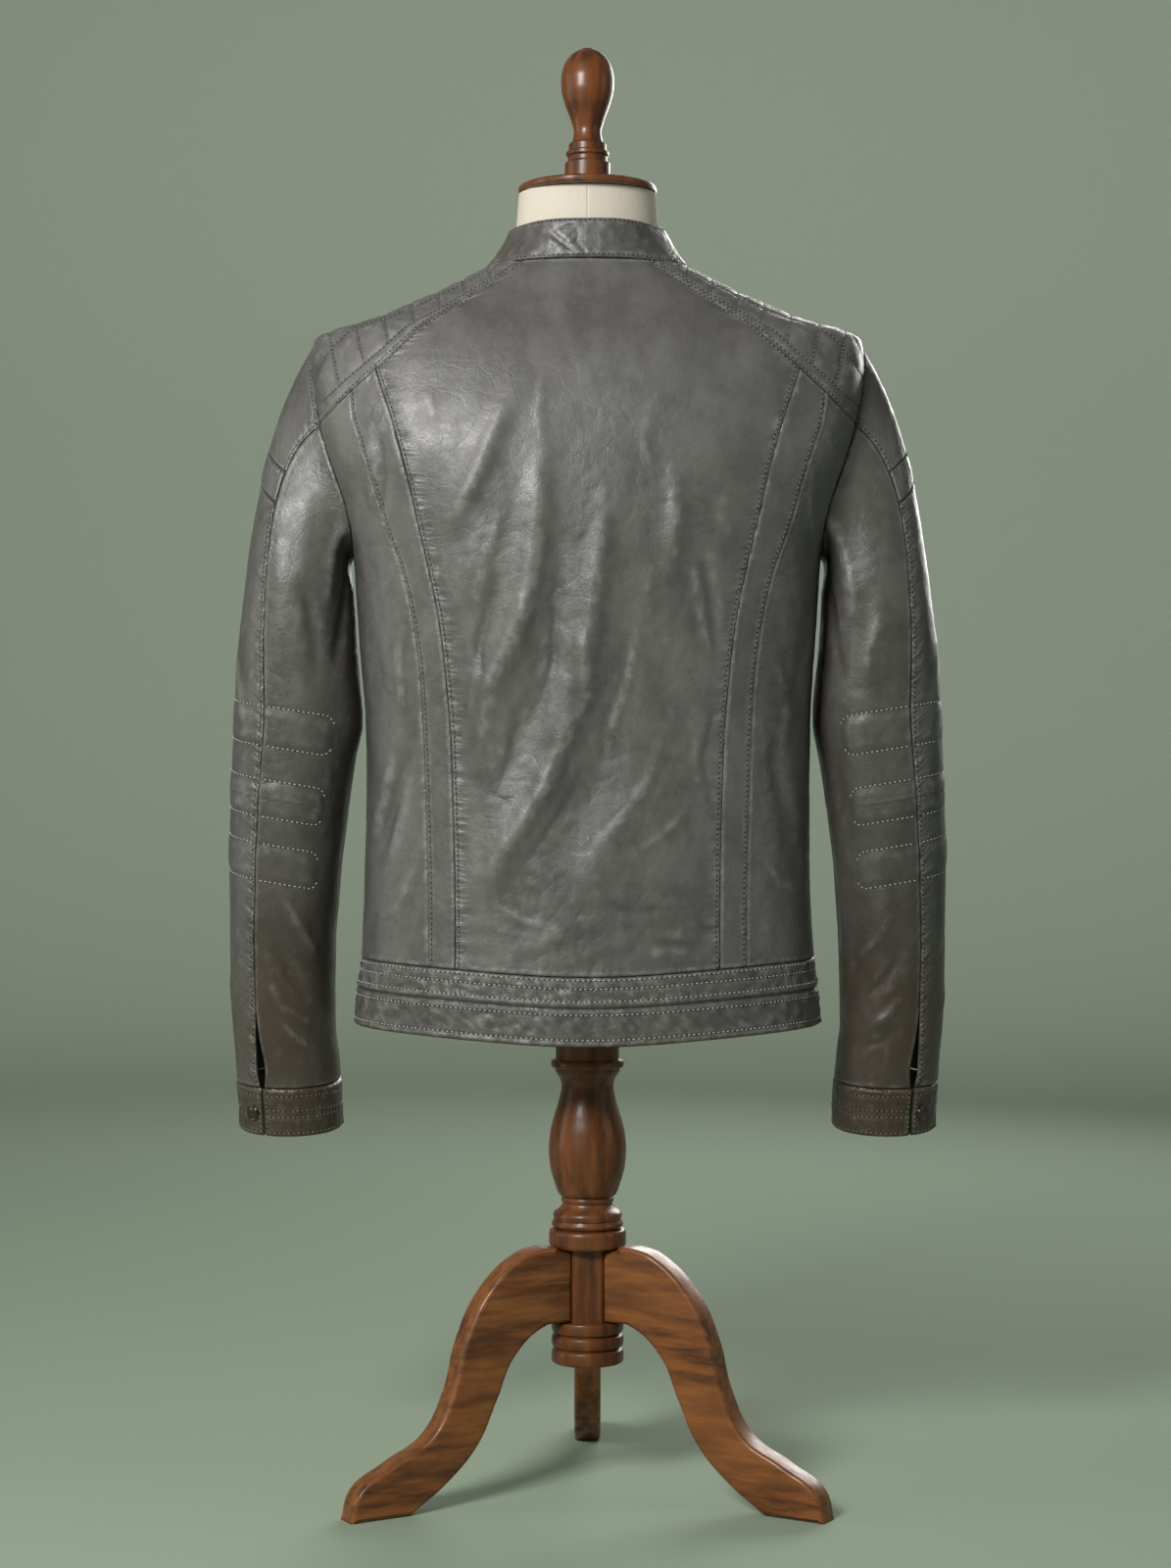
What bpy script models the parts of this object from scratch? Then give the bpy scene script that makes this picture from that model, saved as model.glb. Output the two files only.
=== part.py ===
"""Leather biker jacket on a dress form with a turned wooden stand.

Metres, +Z up, front of the jacket towards -Y, wearer's left towards +X. The
origin is on the floor under the middle of the whole; the post stands at
y = CENTRE_Y, and everything is modelled round the post's axis and parented to
an empty there.

Every sewn piece is its own closed wall. The pieces of the body lie on one
surface, body(phi, z), and those of a sleeve on another, sleeve(theta, v). Two
pieces that meet share the points of their seam and stand SEAM_GAP apart.
"""
import math

import bmesh
import bpy
import numpy as np
from mathutils import Matrix, Vector

MM = 0.001
DEG = math.pi / 180.0


def table(columns, rows):
    """A short table as arrays by column name; the first column is its key."""
    return {name: np.array([row[k] for row in rows], float) for k, name in enumerate(columns.split())}


# ---------------------------------------------------------------- driving sizes
CENTRE_Y = 0.0475        # the post's axis, so that the whole sits centred on the origin
SEAM_GAP = 0.3 * MM      # between two sewn pieces
WALL = 1.8 * MM          # leather with its backing
BAND_WALL = 2.2 * MM     # doubled leather of the hem band
CUFF_WALL = 2.0 * MM
TAPE_WALL = 1.0 * MM
CHAIN_WALL = 2.2 * MM

HEM = 0.3958             # lower edge of the hem band
HEM_DROP = 0.0110        # the back hangs lower in its middle
BAND_TOP = 0.4520        # seam between the panels and the hem band
UNDERARM = 0.7900
BACK_SEAM = 66.0         # angles of the sleeve's two long seams round the arm
FRONT_SEAM = -62.0
FRONT_JOIN = -50.0       # where the front yoke seam meets the armhole
TOP_RING = 0.7600        # below this the sleeve's sections are level
SLEEVE_END = 0.3000      # z where the sleeve's v reaches 2
CUFF_TOP = 0.3455
CUFF_END = 0.3045
CUFF_TILT = 0.0052       # the cuff's back edge is lower than its front edge
SLEEVE_BAND = 0.0265     # height of the band round the upper arm
JOIN_IN = (0.1740, 0.9390)   # x, z where the princess seams meet the yoke seam
JOIN_OUT = (0.1950, 0.9205)

COLLAR_TALL = 33.5 * MM
COLLAR_FRONT_TALL = 2.0 * MM  # more at the front
COLLAR_LEAN = 4.5 * MM   # how far its top leans in, and how much more at the sides
COLLAR_SIDE_LEAN = 16.5 * MM
COLLAR_OPEN = 4.8 * MM   # from the centre front to each of its ends

ZIP_HALF = 3.8 * MM      # from the centre front to a front edge
CHAIN_HALF = 3.4 * MM
TAPE_OUT = 14.0 * MM     # from the centre front to a tape's outer edge
SLIDER_Z = 0.9690
SLIDER_SINK = 0.75 * MM  # the slider sits down on the straight run of the teeth
PIVOT_HIGH = 3.0 * MM    # the pull's bar over the teeth

QUILT_HIGH = 1.1 * MM    # padding between the yoke's stitch lines
QUILT_EDGE = 0.10        # share of the yoke beside its back seam that is left flat
QUILT_PITCH = 0.22       # share of the yoke between two long stitch lines
PAD_HIGH = 1.2 * MM      # padding at the elbow
PAD_SOFT = 5.0 * MM      # how gently a pad rises

SNAP_ANGLE = BACK_SEAM - 13.0
SNAP_Z = 0.3235
LEG_THICK = 23.5 * MM
LEG_ROUND = 3.5 * MM
LEG_AZIMUTHS = {"leg_left": 60.0, "leg_right": -60.0, "leg_rear": 180.0}  # from +Y to +X

# ---------------------------------------------------------------- tables
# Body of the jacket, level sections: depth to the back and to the front, and
# the roundness power of the section.
BODY = table("z half back front power", [
    (0.3850, 0.1970, 0.1215, 0.1180, 2.25),
    (0.3955, 0.1970, 0.1220, 0.1180, 2.25),
    (0.4520, 0.1915, 0.1195, 0.1175, 2.30),
    (0.5000, 0.1890, 0.1175, 0.1170, 2.35),
    (0.5600, 0.1880, 0.1155, 0.1175, 2.40),
    (0.6100, 0.1875, 0.1150, 0.1190, 2.45),
    (0.6500, 0.1880, 0.1165, 0.1205, 2.50),
    (0.6900, 0.1905, 0.1195, 0.1225, 2.60),
    (0.7200, 0.1930, 0.1220, 0.1240, 2.65),
    (0.7600, 0.1955, 0.1250, 0.1255, 2.70),
    (0.7900, 0.1975, 0.1265, 0.1260, 2.80),
    (0.8280, 0.2075, 0.1275, 0.1250, 2.90),
    (0.8700, 0.2215, 0.1255, 0.1220, 3.00),
    (0.9020, 0.2290, 0.1205, 0.1160, 3.00),
    (0.9300, 0.2325, 0.1130, 0.1065, 2.90),
    (0.9500, 0.2340, 0.1065, 0.0975, 2.80),
    (0.9708, 0.2313, 0.0970, 0.0860, 2.70),
    (0.9790, 0.2160, 0.0925, 0.0805, 2.60),
    (0.9836, 0.1990, 0.0900, 0.0775, 2.55),
    (0.9913, 0.1770, 0.0860, 0.0735, 2.45),
    (1.0022, 0.1530, 0.0800, 0.0665, 2.35),
    (1.0116, 0.1310, 0.0750, 0.0610, 2.30),
    (1.0227, 0.1090, 0.0695, 0.0560, 2.20),
    (1.0345, 0.0860, 0.0625, 0.0520, 2.15),
    (1.0400, 0.0760, 0.0590, 0.0500, 2.10),
])
# Yoke seams from the collar to the armhole, over the back and over the front.
YOKE_BACK = table("x z", [
    (0.0550, 1.0345), (0.0820, 1.0130), (0.0965, 1.0025), (0.1150, 0.9895),
    (0.1430, 0.9680), (0.1640, 0.9480), (0.1740, 0.9390), (0.1840, 0.9300),
    (0.1950, 0.9205), (0.2000, 0.9160), (0.2120, 0.9055),
])
YOKE_FRONT = table("x z", [
    (0.0720, 1.0285), (0.1100, 1.0030), (0.1500, 0.9750), (0.1900, 0.9480),
])
# Princess seams of the back: x of the inner and of the outer seam.
PRINCESS = table("z inner outer", [
    (0.4520, 0.1080, 0.1300), (0.4929, 0.1080, 0.1300), (0.5600, 0.1090, 0.1315),
    (0.6100, 0.1105, 0.1330), (0.6265, 0.1110, 0.1335), (0.6800, 0.1150, 0.1360),
    (0.7250, 0.1200, 0.1415), (0.7670, 0.1280, 0.1505), (0.8100, 0.1380, 0.1655),
    (0.8500, 0.1470, 0.1770), (0.8800, 0.1550, 0.1870), (0.9000, 0.1610, 0.1930),
    (0.9205, 0.1680, 0.1950), (0.9390, 0.1740, 0.1960),
])
# Armhole, and the head of the sleeve sewn to it: angle in degrees round the arm
# from the outside (0) over the back (90) to the underarm (180), and the distance
# from the shoulder's ridge. The front is its mirror image.
ARMHOLE = table("angle z y", [
    (0, 0.9708, 0.0000), (12, 0.9688, 0.0095), (25, 0.9590, 0.0195),
    (40, 0.9400, 0.0305), (54, 0.9180, 0.0410), (66, 0.8970, 0.0485),
    (80, 0.8770, 0.0540), (95, 0.8550, 0.0572), (110, 0.8330, 0.0565),
    (125, 0.8140, 0.0515), (140, 0.8015, 0.0425), (155, 0.7940, 0.0290),
    (168, 0.7907, 0.0150), (180, 0.7900, 0.0000),
])
# Neck seam, by the angle in degrees round the neck from the centre back.
NECK = table("angle z", [
    (0, 1.0345), (60, 1.0345), (100, 1.0340), (115, 1.0295), (130, 1.0205),
    (150, 1.0040), (165, 0.9905), (180, 0.9850),
])
# Sleeve, level sections: x nearest the body and outermost, y of the middle,
# half depth and roundness power.
SLEEVE = table("z near far middle deep power", [
    (0.7600, 0.1990, 0.2905, 0.0010, 0.0590, 2.35),
    (0.7200, 0.1968, 0.2955, 0.0000, 0.0585, 2.30),
    (0.6900, 0.1945, 0.2980, -0.0010, 0.0575, 2.30),
    (0.6520, 0.1918, 0.3005, -0.0025, 0.0560, 2.25),
    (0.6200, 0.1972, 0.3022, -0.0040, 0.0548, 2.20),
    (0.5920, 0.2018, 0.3034, -0.0060, 0.0535, 2.20),
    (0.5605, 0.2062, 0.3048, -0.0080, 0.0522, 2.15),
    (0.5310, 0.2098, 0.3052, -0.0102, 0.0510, 2.15),
    (0.5000, 0.2124, 0.3055, -0.0128, 0.0499, 2.15),
    (0.4730, 0.2148, 0.3058, -0.0152, 0.0490, 2.15),
    (0.4200, 0.2162, 0.3053, -0.0208, 0.0476, 2.15),
    (0.3930, 0.2164, 0.3040, -0.0238, 0.0469, 2.15),
    (0.3667, 0.2140, 0.3020, -0.0268, 0.0463, 2.15),
    (0.3450, 0.2126, 0.3008, -0.0290, 0.0458, 2.15),
    (0.3250, 0.2116, 0.2994, -0.0308, 0.0454, 2.15),
    (0.3000, 0.2110, 0.2985, -0.0330, 0.0450, 2.15),
])
# Direction in which the sleeve leaves the armhole, by the angle round the arm.
LEAD = table("angle out inward down", [
    (0, 0.50, 0.00, 0.87), (30, 0.62, 0.08, 0.76), (60, 0.80, 0.22, 0.55),
    (90, 0.90, 0.32, 0.36), (120, 0.94, 0.26, 0.30), (150, 0.98, 0.12, 0.30),
    (180, 1.00, 0.00, 0.30),
])
# Soft folds of the body: x and z of both ends, half width, height (a trough is
# below 0). One table for the back and one for the fronts.
BACK_FOLDS = table("x0 z0 x1 z1 width height", [
    (0.0560, 0.9250, 0.1069, 0.8126, 0.0110, 0.0022),
    (0.0840, 0.8039, 0.1030, 0.7461, 0.0090, 0.0020),
    (0.0360, 0.8600, 0.0523, 0.7421, 0.0100, 0.0028),
    (0.0523, 0.7421, 0.0824, 0.6788, 0.0100, 0.0032),
    (0.0824, 0.6788, 0.0871, 0.6100, 0.0100, 0.0026),
    (-0.0160, 0.8200, 0.0040, 0.7073, 0.0110, 0.0034),
    (0.0040, 0.7073, 0.0348, 0.5964, 0.0120, 0.0038),
    (0.0348, 0.5964, 0.0860, 0.5130, 0.0130, 0.0034),
    (-0.0705, 0.8500, -0.0697, 0.7700, 0.0090, 0.0022),
    (-0.0919, 0.7900, -0.1030, 0.6900, 0.0080, -0.0018),
    (0.0250, 0.7900, 0.0300, 0.7000, 0.0110, -0.0024),
    (0.0300, 0.7000, 0.0600, 0.6100, 0.0120, -0.0026),
    (-0.0350, 0.7400, -0.0150, 0.6200, 0.0130, -0.0022),
    (-0.0150, 0.6200, 0.0250, 0.5400, 0.0130, -0.0020),
    (-0.0400, 0.5900, 0.0000, 0.5200, 0.0120, 0.0020),
    (0.1513, 0.6150, 0.1760, 0.5250, 0.0080, -0.0024),
    (-0.1500, 0.6300, -0.1720, 0.5500, 0.0080, -0.0020),
    (-0.0500, 0.4760, -0.0960, 0.4700, 0.0070, -0.0016),
])
FRONT_FOLDS = table("x0 z0 x1 z1 width height", [
    (0.0900, 0.9000, 0.0620, 0.7600, 0.0130, 0.0022),
    (-0.0900, 0.9000, -0.0660, 0.7400, 0.0130, 0.0022),
    (0.0500, 0.7400, 0.1100, 0.6000, 0.0130, 0.0030),
    (-0.0560, 0.7200, -0.1100, 0.5800, 0.0130, 0.0030),
    (0.0450, 0.6200, 0.0950, 0.5050, 0.0120, -0.0022),
    (-0.0450, 0.6100, -0.0950, 0.4980, 0.0120, -0.0022),
])
# Soft folds of a sleeve: angle in degrees and z of both ends, half width, height.
SLEEVE_FOLDS = table("angle0 z0 angle1 z1 width height", [
    (128, 0.845, 118, 0.740, 0.0085, 0.0022),
    (150, 0.780, 128, 0.690, 0.0085, -0.0020),
    (100, 0.760, 112, 0.680, 0.0080, -0.0016),
    (100, 0.500, 128, 0.455, 0.0075, 0.0018),
    (90, 0.455, 120, 0.415, 0.0070, -0.0016),
    (95, 0.405, 125, 0.385, 0.0060, 0.0014),
    (20, 0.700, 45, 0.640, 0.0085, 0.0014),
    (250, 0.640, 290, 0.610, 0.0075, -0.0026),
    (235, 0.600, 285, 0.575, 0.0080, 0.0026),
    (250, 0.560, 290, 0.540, 0.0075, -0.0024),
    (240, 0.735, 225, 0.660, 0.0085, 0.0018),
    (300, 0.830, 318, 0.730, 0.0085, 0.0018),
])
ARC_LENGTH = 0.9 * MM    # of one degree round a sleeve, for the folds' widths
# Half opening in degrees of the vent in the long back seam, over the cuff.
VENT = table("z open", [
    (0.2900, 1.2), (0.3380, 1.2), (0.3450, 2.4), (0.3600, 4.6),
    (0.3850, 2.2), (0.4140, 0.0), (0.9800, 0.0),
])
# Elbow pads: z of the lower and the upper edge at the long back seam.
PADS = table("low high", [(0.630, 0.663), (0.572, 0.587), (0.587, 0.6025), (0.518, 0.549)])
# Rows of the hem band and of a cuff: share of the height down from the seam, relief.
HEM_ROWS = table("share relief", [
    (1.000, 0.0), (0.890, 0.8 * MM), (0.580, 0.9 * MM), (0.520, 1.5 * MM), (0.450, 0.7 * MM),
    (0.380, 1.5 * MM), (0.150, 0.9 * MM), (0.000, 0.0),
])
CUFF_ROWS = table("share relief", [
    (0.00, 0.0), (0.14, 0.9 * MM), (0.50, 0.9 * MM), (0.58, 0.3 * MM), (0.66, 0.9 * MM),
    (1.00, 0.3 * MM),
])
COLLAR_ROWS = table("share relief", [(0.0, 0.0), (0.12, 0.5 * MM), (0.55, 0.5 * MM), (1.0, 0.0)])

# Rows of points that meeting pieces share along a seam.
YOKE_COLUMNS = 14
YOKE_T = np.concatenate([[0.0], np.arange(0.10, 0.90, 0.11), [1.0]])
YOKE_ARM = BACK_SEAM + (FRONT_JOIN - BACK_SEAM) * YOKE_T
UNDER_BACK = np.array([180.0, 160.0, 138.0, 112.0, 88.0, BACK_SEAM])
UNDER_FRONT = -np.array([180.0, 160.0, 138.0, 112.0, 88.0, -FRONT_SEAM, -FRONT_JOIN])
SEAM_ROWS = 9
SIDE_Z = np.linspace(BAND_TOP, UNDERARM, SEAM_ROWS)
T_BACK = np.linspace(0, 1, SEAM_ROWS + len(UNDER_BACK) - 1)
CENTRE_S = np.linspace(0, 1, 13)
STRIP_S = np.linspace(0, 1, 3)
FRONT_S = np.array([0, 0.14, 0.28, 0.40, 0.5, 0.6, 0.7, 0.8, 0.9, 1.0])
OVER_SHOULDER = 0.5      # share of the front panel's top that is yoke seam
# Levels of the sleeve's rows, closer together at the elbow pads.
SLEEVE_LEVELS = np.array([0.735, 0.697, 0.663, 0.6465, 0.630, 0.6025, 0.595, 0.587, 0.5795,
                          0.572, 0.549, 0.5335, 0.518, 0.477, 0.440, 0.406, 0.376, 0.358])

# Dress form: levels of its rings, its distance below the leather's outer face,
# and its neck over the shoulders.
FORM_COLUMNS = 28
FORM_LEVELS = (0.4045, 0.4100, 0.4700, 0.5600, 0.6500, 0.7400, 0.8100, 0.8600,
               0.9000, 0.9300, 0.9520, 0.9700, 0.9810, 0.9920, 1.0060, 1.0220)
FORM_BASE_EDGE = 0.972   # the base is drawn in by this share at its edge
FORM_EASE = table("z distance", [
    (0.400, 0.0130), (0.700, 0.0115), (0.850, 0.0110), (0.920, 0.0085),
    (0.950, 0.0060), (0.980, 0.0037), (1.000, 0.0032), (1.040, 0.0030),
])
FORM_FRONT_EASE = 3.5 * MM  # the form stands this much further off the zip
FORM_NECK = table("z half back front", [
    (1.0290, 0.0840, 0.0590, 0.0490), (1.0370, 0.0725, 0.0550, 0.0480),
    (1.0480, 0.0650, 0.0525, 0.0470), (1.0650, 0.0612, 0.0505, 0.0465),
    (1.0985, 0.0585, 0.0490, 0.0455),
])
# Turned profiles, from the bottom up.
FINIAL = table("z radius", [
    (1.1060, 0.0190), (1.1197, 0.0193), (1.1250, 0.0193), (1.1270, 0.0168),
    (1.1305, 0.0168), (1.1322, 0.0183), (1.1347, 0.0183), (1.1362, 0.0160),
    (1.1412, 0.0160), (1.1432, 0.0136), (1.1527, 0.0117), (1.1600, 0.0136),
    (1.1676, 0.0162), (1.1780, 0.0200), (1.1880, 0.0222), (1.1963, 0.0226),
    (1.2050, 0.0212), (1.2130, 0.0176), (1.2190, 0.0118), (1.2228, 0.0048),
])
NECK_CAP = table("z radius", [
    (1.0988, 0.0560), (1.1000, 0.0584), (1.1030, 0.0588), (1.1048, 0.0575), (1.1057, 0.0540),
])
POST = table("z radius", [
    (0.2286, 0.0285), (0.2323, 0.0293), (0.2345, 0.0285), (0.2385, 0.0235),
    (0.2413, 0.0215), (0.2430, 0.0210), (0.2440, 0.0222), (0.2463, 0.0223),
    (0.2475, 0.0215), (0.2494, 0.0239), (0.2600, 0.0282), (0.2730, 0.0318),
    (0.2877, 0.0330), (0.3020, 0.0318), (0.3160, 0.0284), (0.3300, 0.0243),
    (0.3418, 0.0222), (0.3480, 0.0236), (0.3530, 0.0268), (0.3547, 0.0276),
    (0.3565, 0.0276), (0.3580, 0.0305), (0.3600, 0.0311), (0.3632, 0.0305),
    (0.3648, 0.0270), (0.4042, 0.0270),
])
HUB = table("z radius", [
    (0.1070, 0.0285), (0.1085, 0.0305), (0.1130, 0.0308), (0.1180, 0.0300),
    (0.1200, 0.0275), (0.1218, 0.0300), (0.1260, 0.0308), (0.1302, 0.0300),
    (0.1320, 0.0275), (0.1338, 0.0300), (0.1390, 0.0308), (0.1428, 0.0300),
    (0.1432, 0.0190), (0.2048, 0.0190), (0.2055, 0.0315), (0.2090, 0.0328),
    (0.2165, 0.0328), (0.2200, 0.0315), (0.2211, 0.0275), (0.2222, 0.0292),
    (0.2245, 0.0305), (0.2283, 0.0290),
])
HUB_FLAT = 21.2 * MM     # from the axis to a flat of the six-sided block between the rings
HUB_BLOCK = (0.1405, 0.2075)
SNAP = table("z radius", [
    (1.25 * MM, 6.6 * MM), (1.95 * MM, 6.6 * MM), (2.75 * MM, 5.4 * MM), (3.05 * MM, 3.0 * MM),
])
# Outline of a leg from the hub over the knee to the foot and back: distance from
# the post's axis, z, and whether the outline has a corner there.
LEG = table("r z corner", [
    (0.0215, 0.1440, 1), (0.0215, 0.2044, 1), (0.0336, 0.2044, 1), (0.0362, 0.2080, 1),
    (0.0495, 0.2080, 0), (0.0697, 0.2018, 0), (0.1019, 0.1740, 0), (0.1219, 0.1359, 0),
    (0.1338, 0.0945, 0), (0.1534, 0.0613, 0), (0.1883, 0.0422, 0), (0.2190, 0.0230, 0),
    (0.2266, 0.0000, 1), (0.1729, 0.0000, 1), (0.1376, 0.0234, 0), (0.1100, 0.0510, 0),
    (0.0919, 0.0865, 0), (0.0758, 0.1197, 0), (0.0453, 0.1432, 0), (0.0351, 0.1440, 1),
])
# Outlines of the zip's metal in its own plane, in millimetres.
PLATE = [(-4.0, -4.5), (-3.0, -6.0), (3.0, -6.0), (4.0, -4.5), (4.0, 2.0), (2.6, 5.0),
         (-2.6, 5.0), (-4.0, 2.0)]
PLATE_SPAN = (0.3 * MM, 1.7 * MM)   # over the teeth
BRIDGE = [(-2.7, 1.0), (2.7, 1.0), (2.7, 4.6), (1.7, 5.6), (-1.7, 5.6), (-2.7, 4.6)]
BRIDGE_WINDOW = [(-1.5, 1.9), (1.5, 1.9), (1.5, 3.8), (0.9, 4.4), (-0.9, 4.4), (-1.5, 3.8)]
BRIDGE_THICK = 2.0 * MM
PULL = [(-3.2, 0.7), (3.2, 0.7), (3.2, -6.0), (2.6, -12.0), (3.2, -24.0), (0.0, -26.0),
        (-3.2, -24.0), (-2.6, -12.0), (-3.2, -6.0)]
PULL_EYE = [(-1.4, -0.7), (1.4, -0.7), (1.4, -3.6), (0.7, -4.2), (-0.7, -4.2), (-1.4, -3.6)]
PULL_THICK = 1.4 * MM

# Finishes: linear colour, roughness, metallic.
LEATHER = ((0.150, 0.154, 0.145), 0.55, 0.0)
WORN_LEATHER = ((0.085, 0.078, 0.066), 0.50, 0.0)
LINEN = ((0.720, 0.650, 0.520), 0.85, 0.0)
WALNUT = ((0.105, 0.038, 0.015), 0.38, 0.0)
TAPE = ((0.030, 0.030, 0.030), 0.80, 0.0)
NICKEL = ((0.280, 0.260, 0.240), 0.35, 1.0)
GUNMETAL = ((0.120, 0.110, 0.100), 0.30, 1.0)

for old in list(bpy.data.objects):
    bpy.data.objects.remove(old, do_unlink=True)
PARTS = bpy.data.collections.new("leather_biker_jacket")
CUTTERS = bpy.data.collections.new("cutters")
for made in (PARTS, CUTTERS):
    bpy.context.scene.collection.children.link(made)


# ---------------------------------------------------------------- curves and folds
def smooth(rows, column):
    """Monotone cubic through one column of a table, against its first column."""
    x, y = next(iter(rows.values())), rows[column]
    order = np.argsort(x)
    x, y = x[order], y[order]
    h, d = np.diff(x), np.diff(y) / np.diff(x)
    m = np.concatenate([[d[0]], np.zeros(len(x) - 2), [d[-1]]])
    for i in range(1, len(x) - 1):
        if d[i - 1] * d[i] > 0:
            w1, w2 = 2 * h[i] + h[i - 1], h[i] + 2 * h[i - 1]
            m[i] = (w1 + w2) / (w1 / d[i - 1] + w2 / d[i])

    def at(q):
        q = np.asarray(q, float)
        i = np.clip(np.searchsorted(x, q) - 1, 0, len(x) - 2)
        full = (q - x[i]) / h[i]
        t = np.clip(full, 0.0, 1.0)
        value = ((2 * t**3 - 3 * t**2 + 1) * y[i] + (t**3 - 2 * t**2 + t) * h[i] * m[i]
                 + (3 * t**2 - 2 * t**3) * y[i + 1] + (t**3 - t**2) * h[i] * m[i + 1])
        return value + (full - t) * h[i] * np.where(full > t, m[i + 1], m[i])
    return at


def ease(a, b, q):
    """Smooth step from 0 at a to 1 at b."""
    t = np.clip((np.asarray(q, float) - a) / (b - a), 0.0, 1.0)
    return t * t * (3 - 2 * t)


def unit(v):
    return v / np.maximum(np.linalg.norm(v, axis=-1, keepdims=True), 1e-12)


def fold_height(p, q, ends, widths, heights):
    """Sum of soft ridges and troughs along segments from (p0, q0) to (p1, q1)."""
    total = np.zeros(np.broadcast(p, q).shape)
    for (p0, q0, p1, q1), width, height in zip(ends, widths, heights):
        dp, dq = p1 - p0, q1 - q0
        share = np.clip(((p - p0) * dp + (q - q0) * dq) / (dp * dp + dq * dq), 0.0, 1.0)
        away = np.hypot(p - p0 - share * dp, q - q0 - share * dq)
        fade = 0.55 + 0.45 * np.sin(math.pi * share)
        total = total + height * np.exp(-(away / width) ** 2) * fade
    return total


def body_folds(folds, x, z):
    ends = np.stack([folds["x0"], folds["z0"], folds["x1"], folds["z1"]], -1)
    return fold_height(x, z, ends, folds["width"], folds["height"])


def snapped(values, targets):
    """The values, with the nearest one to each target moved onto it."""
    values = np.array(values, float)
    for q in targets:
        values[np.argmin(np.abs(values - q))] = q
    return values


def normal_of(surface, u, v, du, dv):
    a = surface(u + du, v) - surface(u - du, v)
    b = surface(u, v + dv) - surface(u, v - dv)
    return unit(np.cross(b, a))


# ---------------------------------------------------------------- body surface
body_half, body_back, body_front, body_power = (
    smooth(BODY, k) for k in ("half", "back", "front", "power"))
neck_z = smooth(NECK, "z")
x_inner, x_outer = smooth(PRINCESS, "inner"), smooth(PRINCESS, "outer")


def round_arm():
    """The armhole's table for all angles from -180 to 180 and a little past them."""
    a, z, y = ARMHOLE["angle"], ARMHOLE["z"], ARMHOLE["y"]
    low = (a > 130) & (a < 180)
    return {"angle": np.concatenate([a, -a[1:], 360 - a[low], a[low] - 360]),
            "z": np.concatenate([z, z[1:], z[low], z[low]]),
            "y": np.concatenate([y, -y[1:], -y[low], y[low]])}


arm_z, arm_y = smooth(round_arm(), "z"), smooth(round_arm(), "y")


def section(phi, z):
    """Point of the body's level section at z; phi runs from the centre back."""
    s, c = np.sin(phi), np.cos(phi)
    n = body_power(z)
    deep = np.where(c >= 0, body_back(z), body_front(z))
    r = ((np.abs(s) / body_half(z)) ** n + (np.abs(c) / deep) ** n) ** (-1.0 / n)
    return np.stack([r * s, r * c, z + 0 * phi], -1)


def body_bare(phi, z):
    p = section(phi, z)
    drop = HEM_DROP * ease(0.63, 0.43, z) * np.clip(np.cos(phi), 0, 1) ** 2
    p[..., 2] = p[..., 2] - drop
    return p


def body(phi, z):
    """Outer face of the leather over the body, with its folds."""
    p = body_bare(phi, z)
    n = normal_of(body_bare, phi, z, 1e-3, 2e-4)
    x, y, level = p[..., 0], p[..., 1], p[..., 2]
    back = ease(-0.02, 0.03, y)
    high = back * body_folds(BACK_FOLDS, x, level) + (1 - back) * body_folds(FRONT_FOLDS, x, level)
    # No folds on the band, on the shoulders, at the side seams or along the zip.
    calm = ease(HEM, BAND_TOP + 0.02, z) * ease(0.985, 0.93, z)
    calm = calm * ease(1.0, 0.93, np.abs(x) / body_half(z))
    calm = calm * ease(0.0, 0.02, np.abs(x) + ease(0.0, 0.02, y))
    return p + n * (high * calm)[..., None]


def body_normal(phi, z):
    return normal_of(body, phi, z, 2e-3, 4e-4)


def on_body(grid):
    """Outer points and normals for a grid of (phi, z)."""
    phi, z = grid[..., 0], grid[..., 1]
    return body(phi, z), body_normal(phi, z)


def phi_at(x, z, side):
    """Angle of the body's section where it passes x, on the back (1) or the front (-1)."""
    n = body_power(z)
    deep = body_back(z) if side > 0 else body_front(z)
    y = deep * np.maximum(1 - (np.abs(x) / body_half(z)) ** n, 0.0) ** (1.0 / n)
    return np.arctan2(x, side * y)


def seam_at(x, z, side):
    return np.stack([phi_at(x, z, side), z + 0 * x], -1)


def armhole(angle):
    """Seam of the armhole in (phi, z); the angle is below 0 at the front."""
    z, y = arm_z(angle), arm_y(angle)
    deep, n = np.where(y >= 0, body_back(z), body_front(z)), body_power(z)
    x = body_half(z) * (1 - (np.abs(y) / deep) ** n) ** (1.0 / n)
    return np.stack([np.arctan2(x, y), z], -1)


def along(points):
    """Curve through (phi, z) points, by the length measured on the body."""
    steps = np.linalg.norm(np.diff(body_bare(points[:, 0], points[:, 1]), axis=0), axis=1)
    run = np.concatenate([[0], np.cumsum(steps)]) / np.sum(steps)
    rows = {"share": run, "phi": points[:, 0], "z": points[:, 1]}
    phi, z = smooth(rows, "phi"), smooth(rows, "z")
    return lambda s: np.stack([phi(s), z(s)], -1)


yoke_back = along(np.vstack([seam_at(YOKE_BACK["x"], YOKE_BACK["z"], 1), armhole(BACK_SEAM)]))
yoke_front = along(np.vstack([seam_at(YOKE_FRONT["x"], YOKE_FRONT["z"], -1), armhole(FRONT_JOIN)]))


def share_of(curve, x):
    """Where along a yoke seam it reaches x."""
    s = np.linspace(0, 1, 801)
    q = curve(s)
    return float(np.interp(x, section(q[:, 0], q[:, 1])[:, 0], s))


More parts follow.
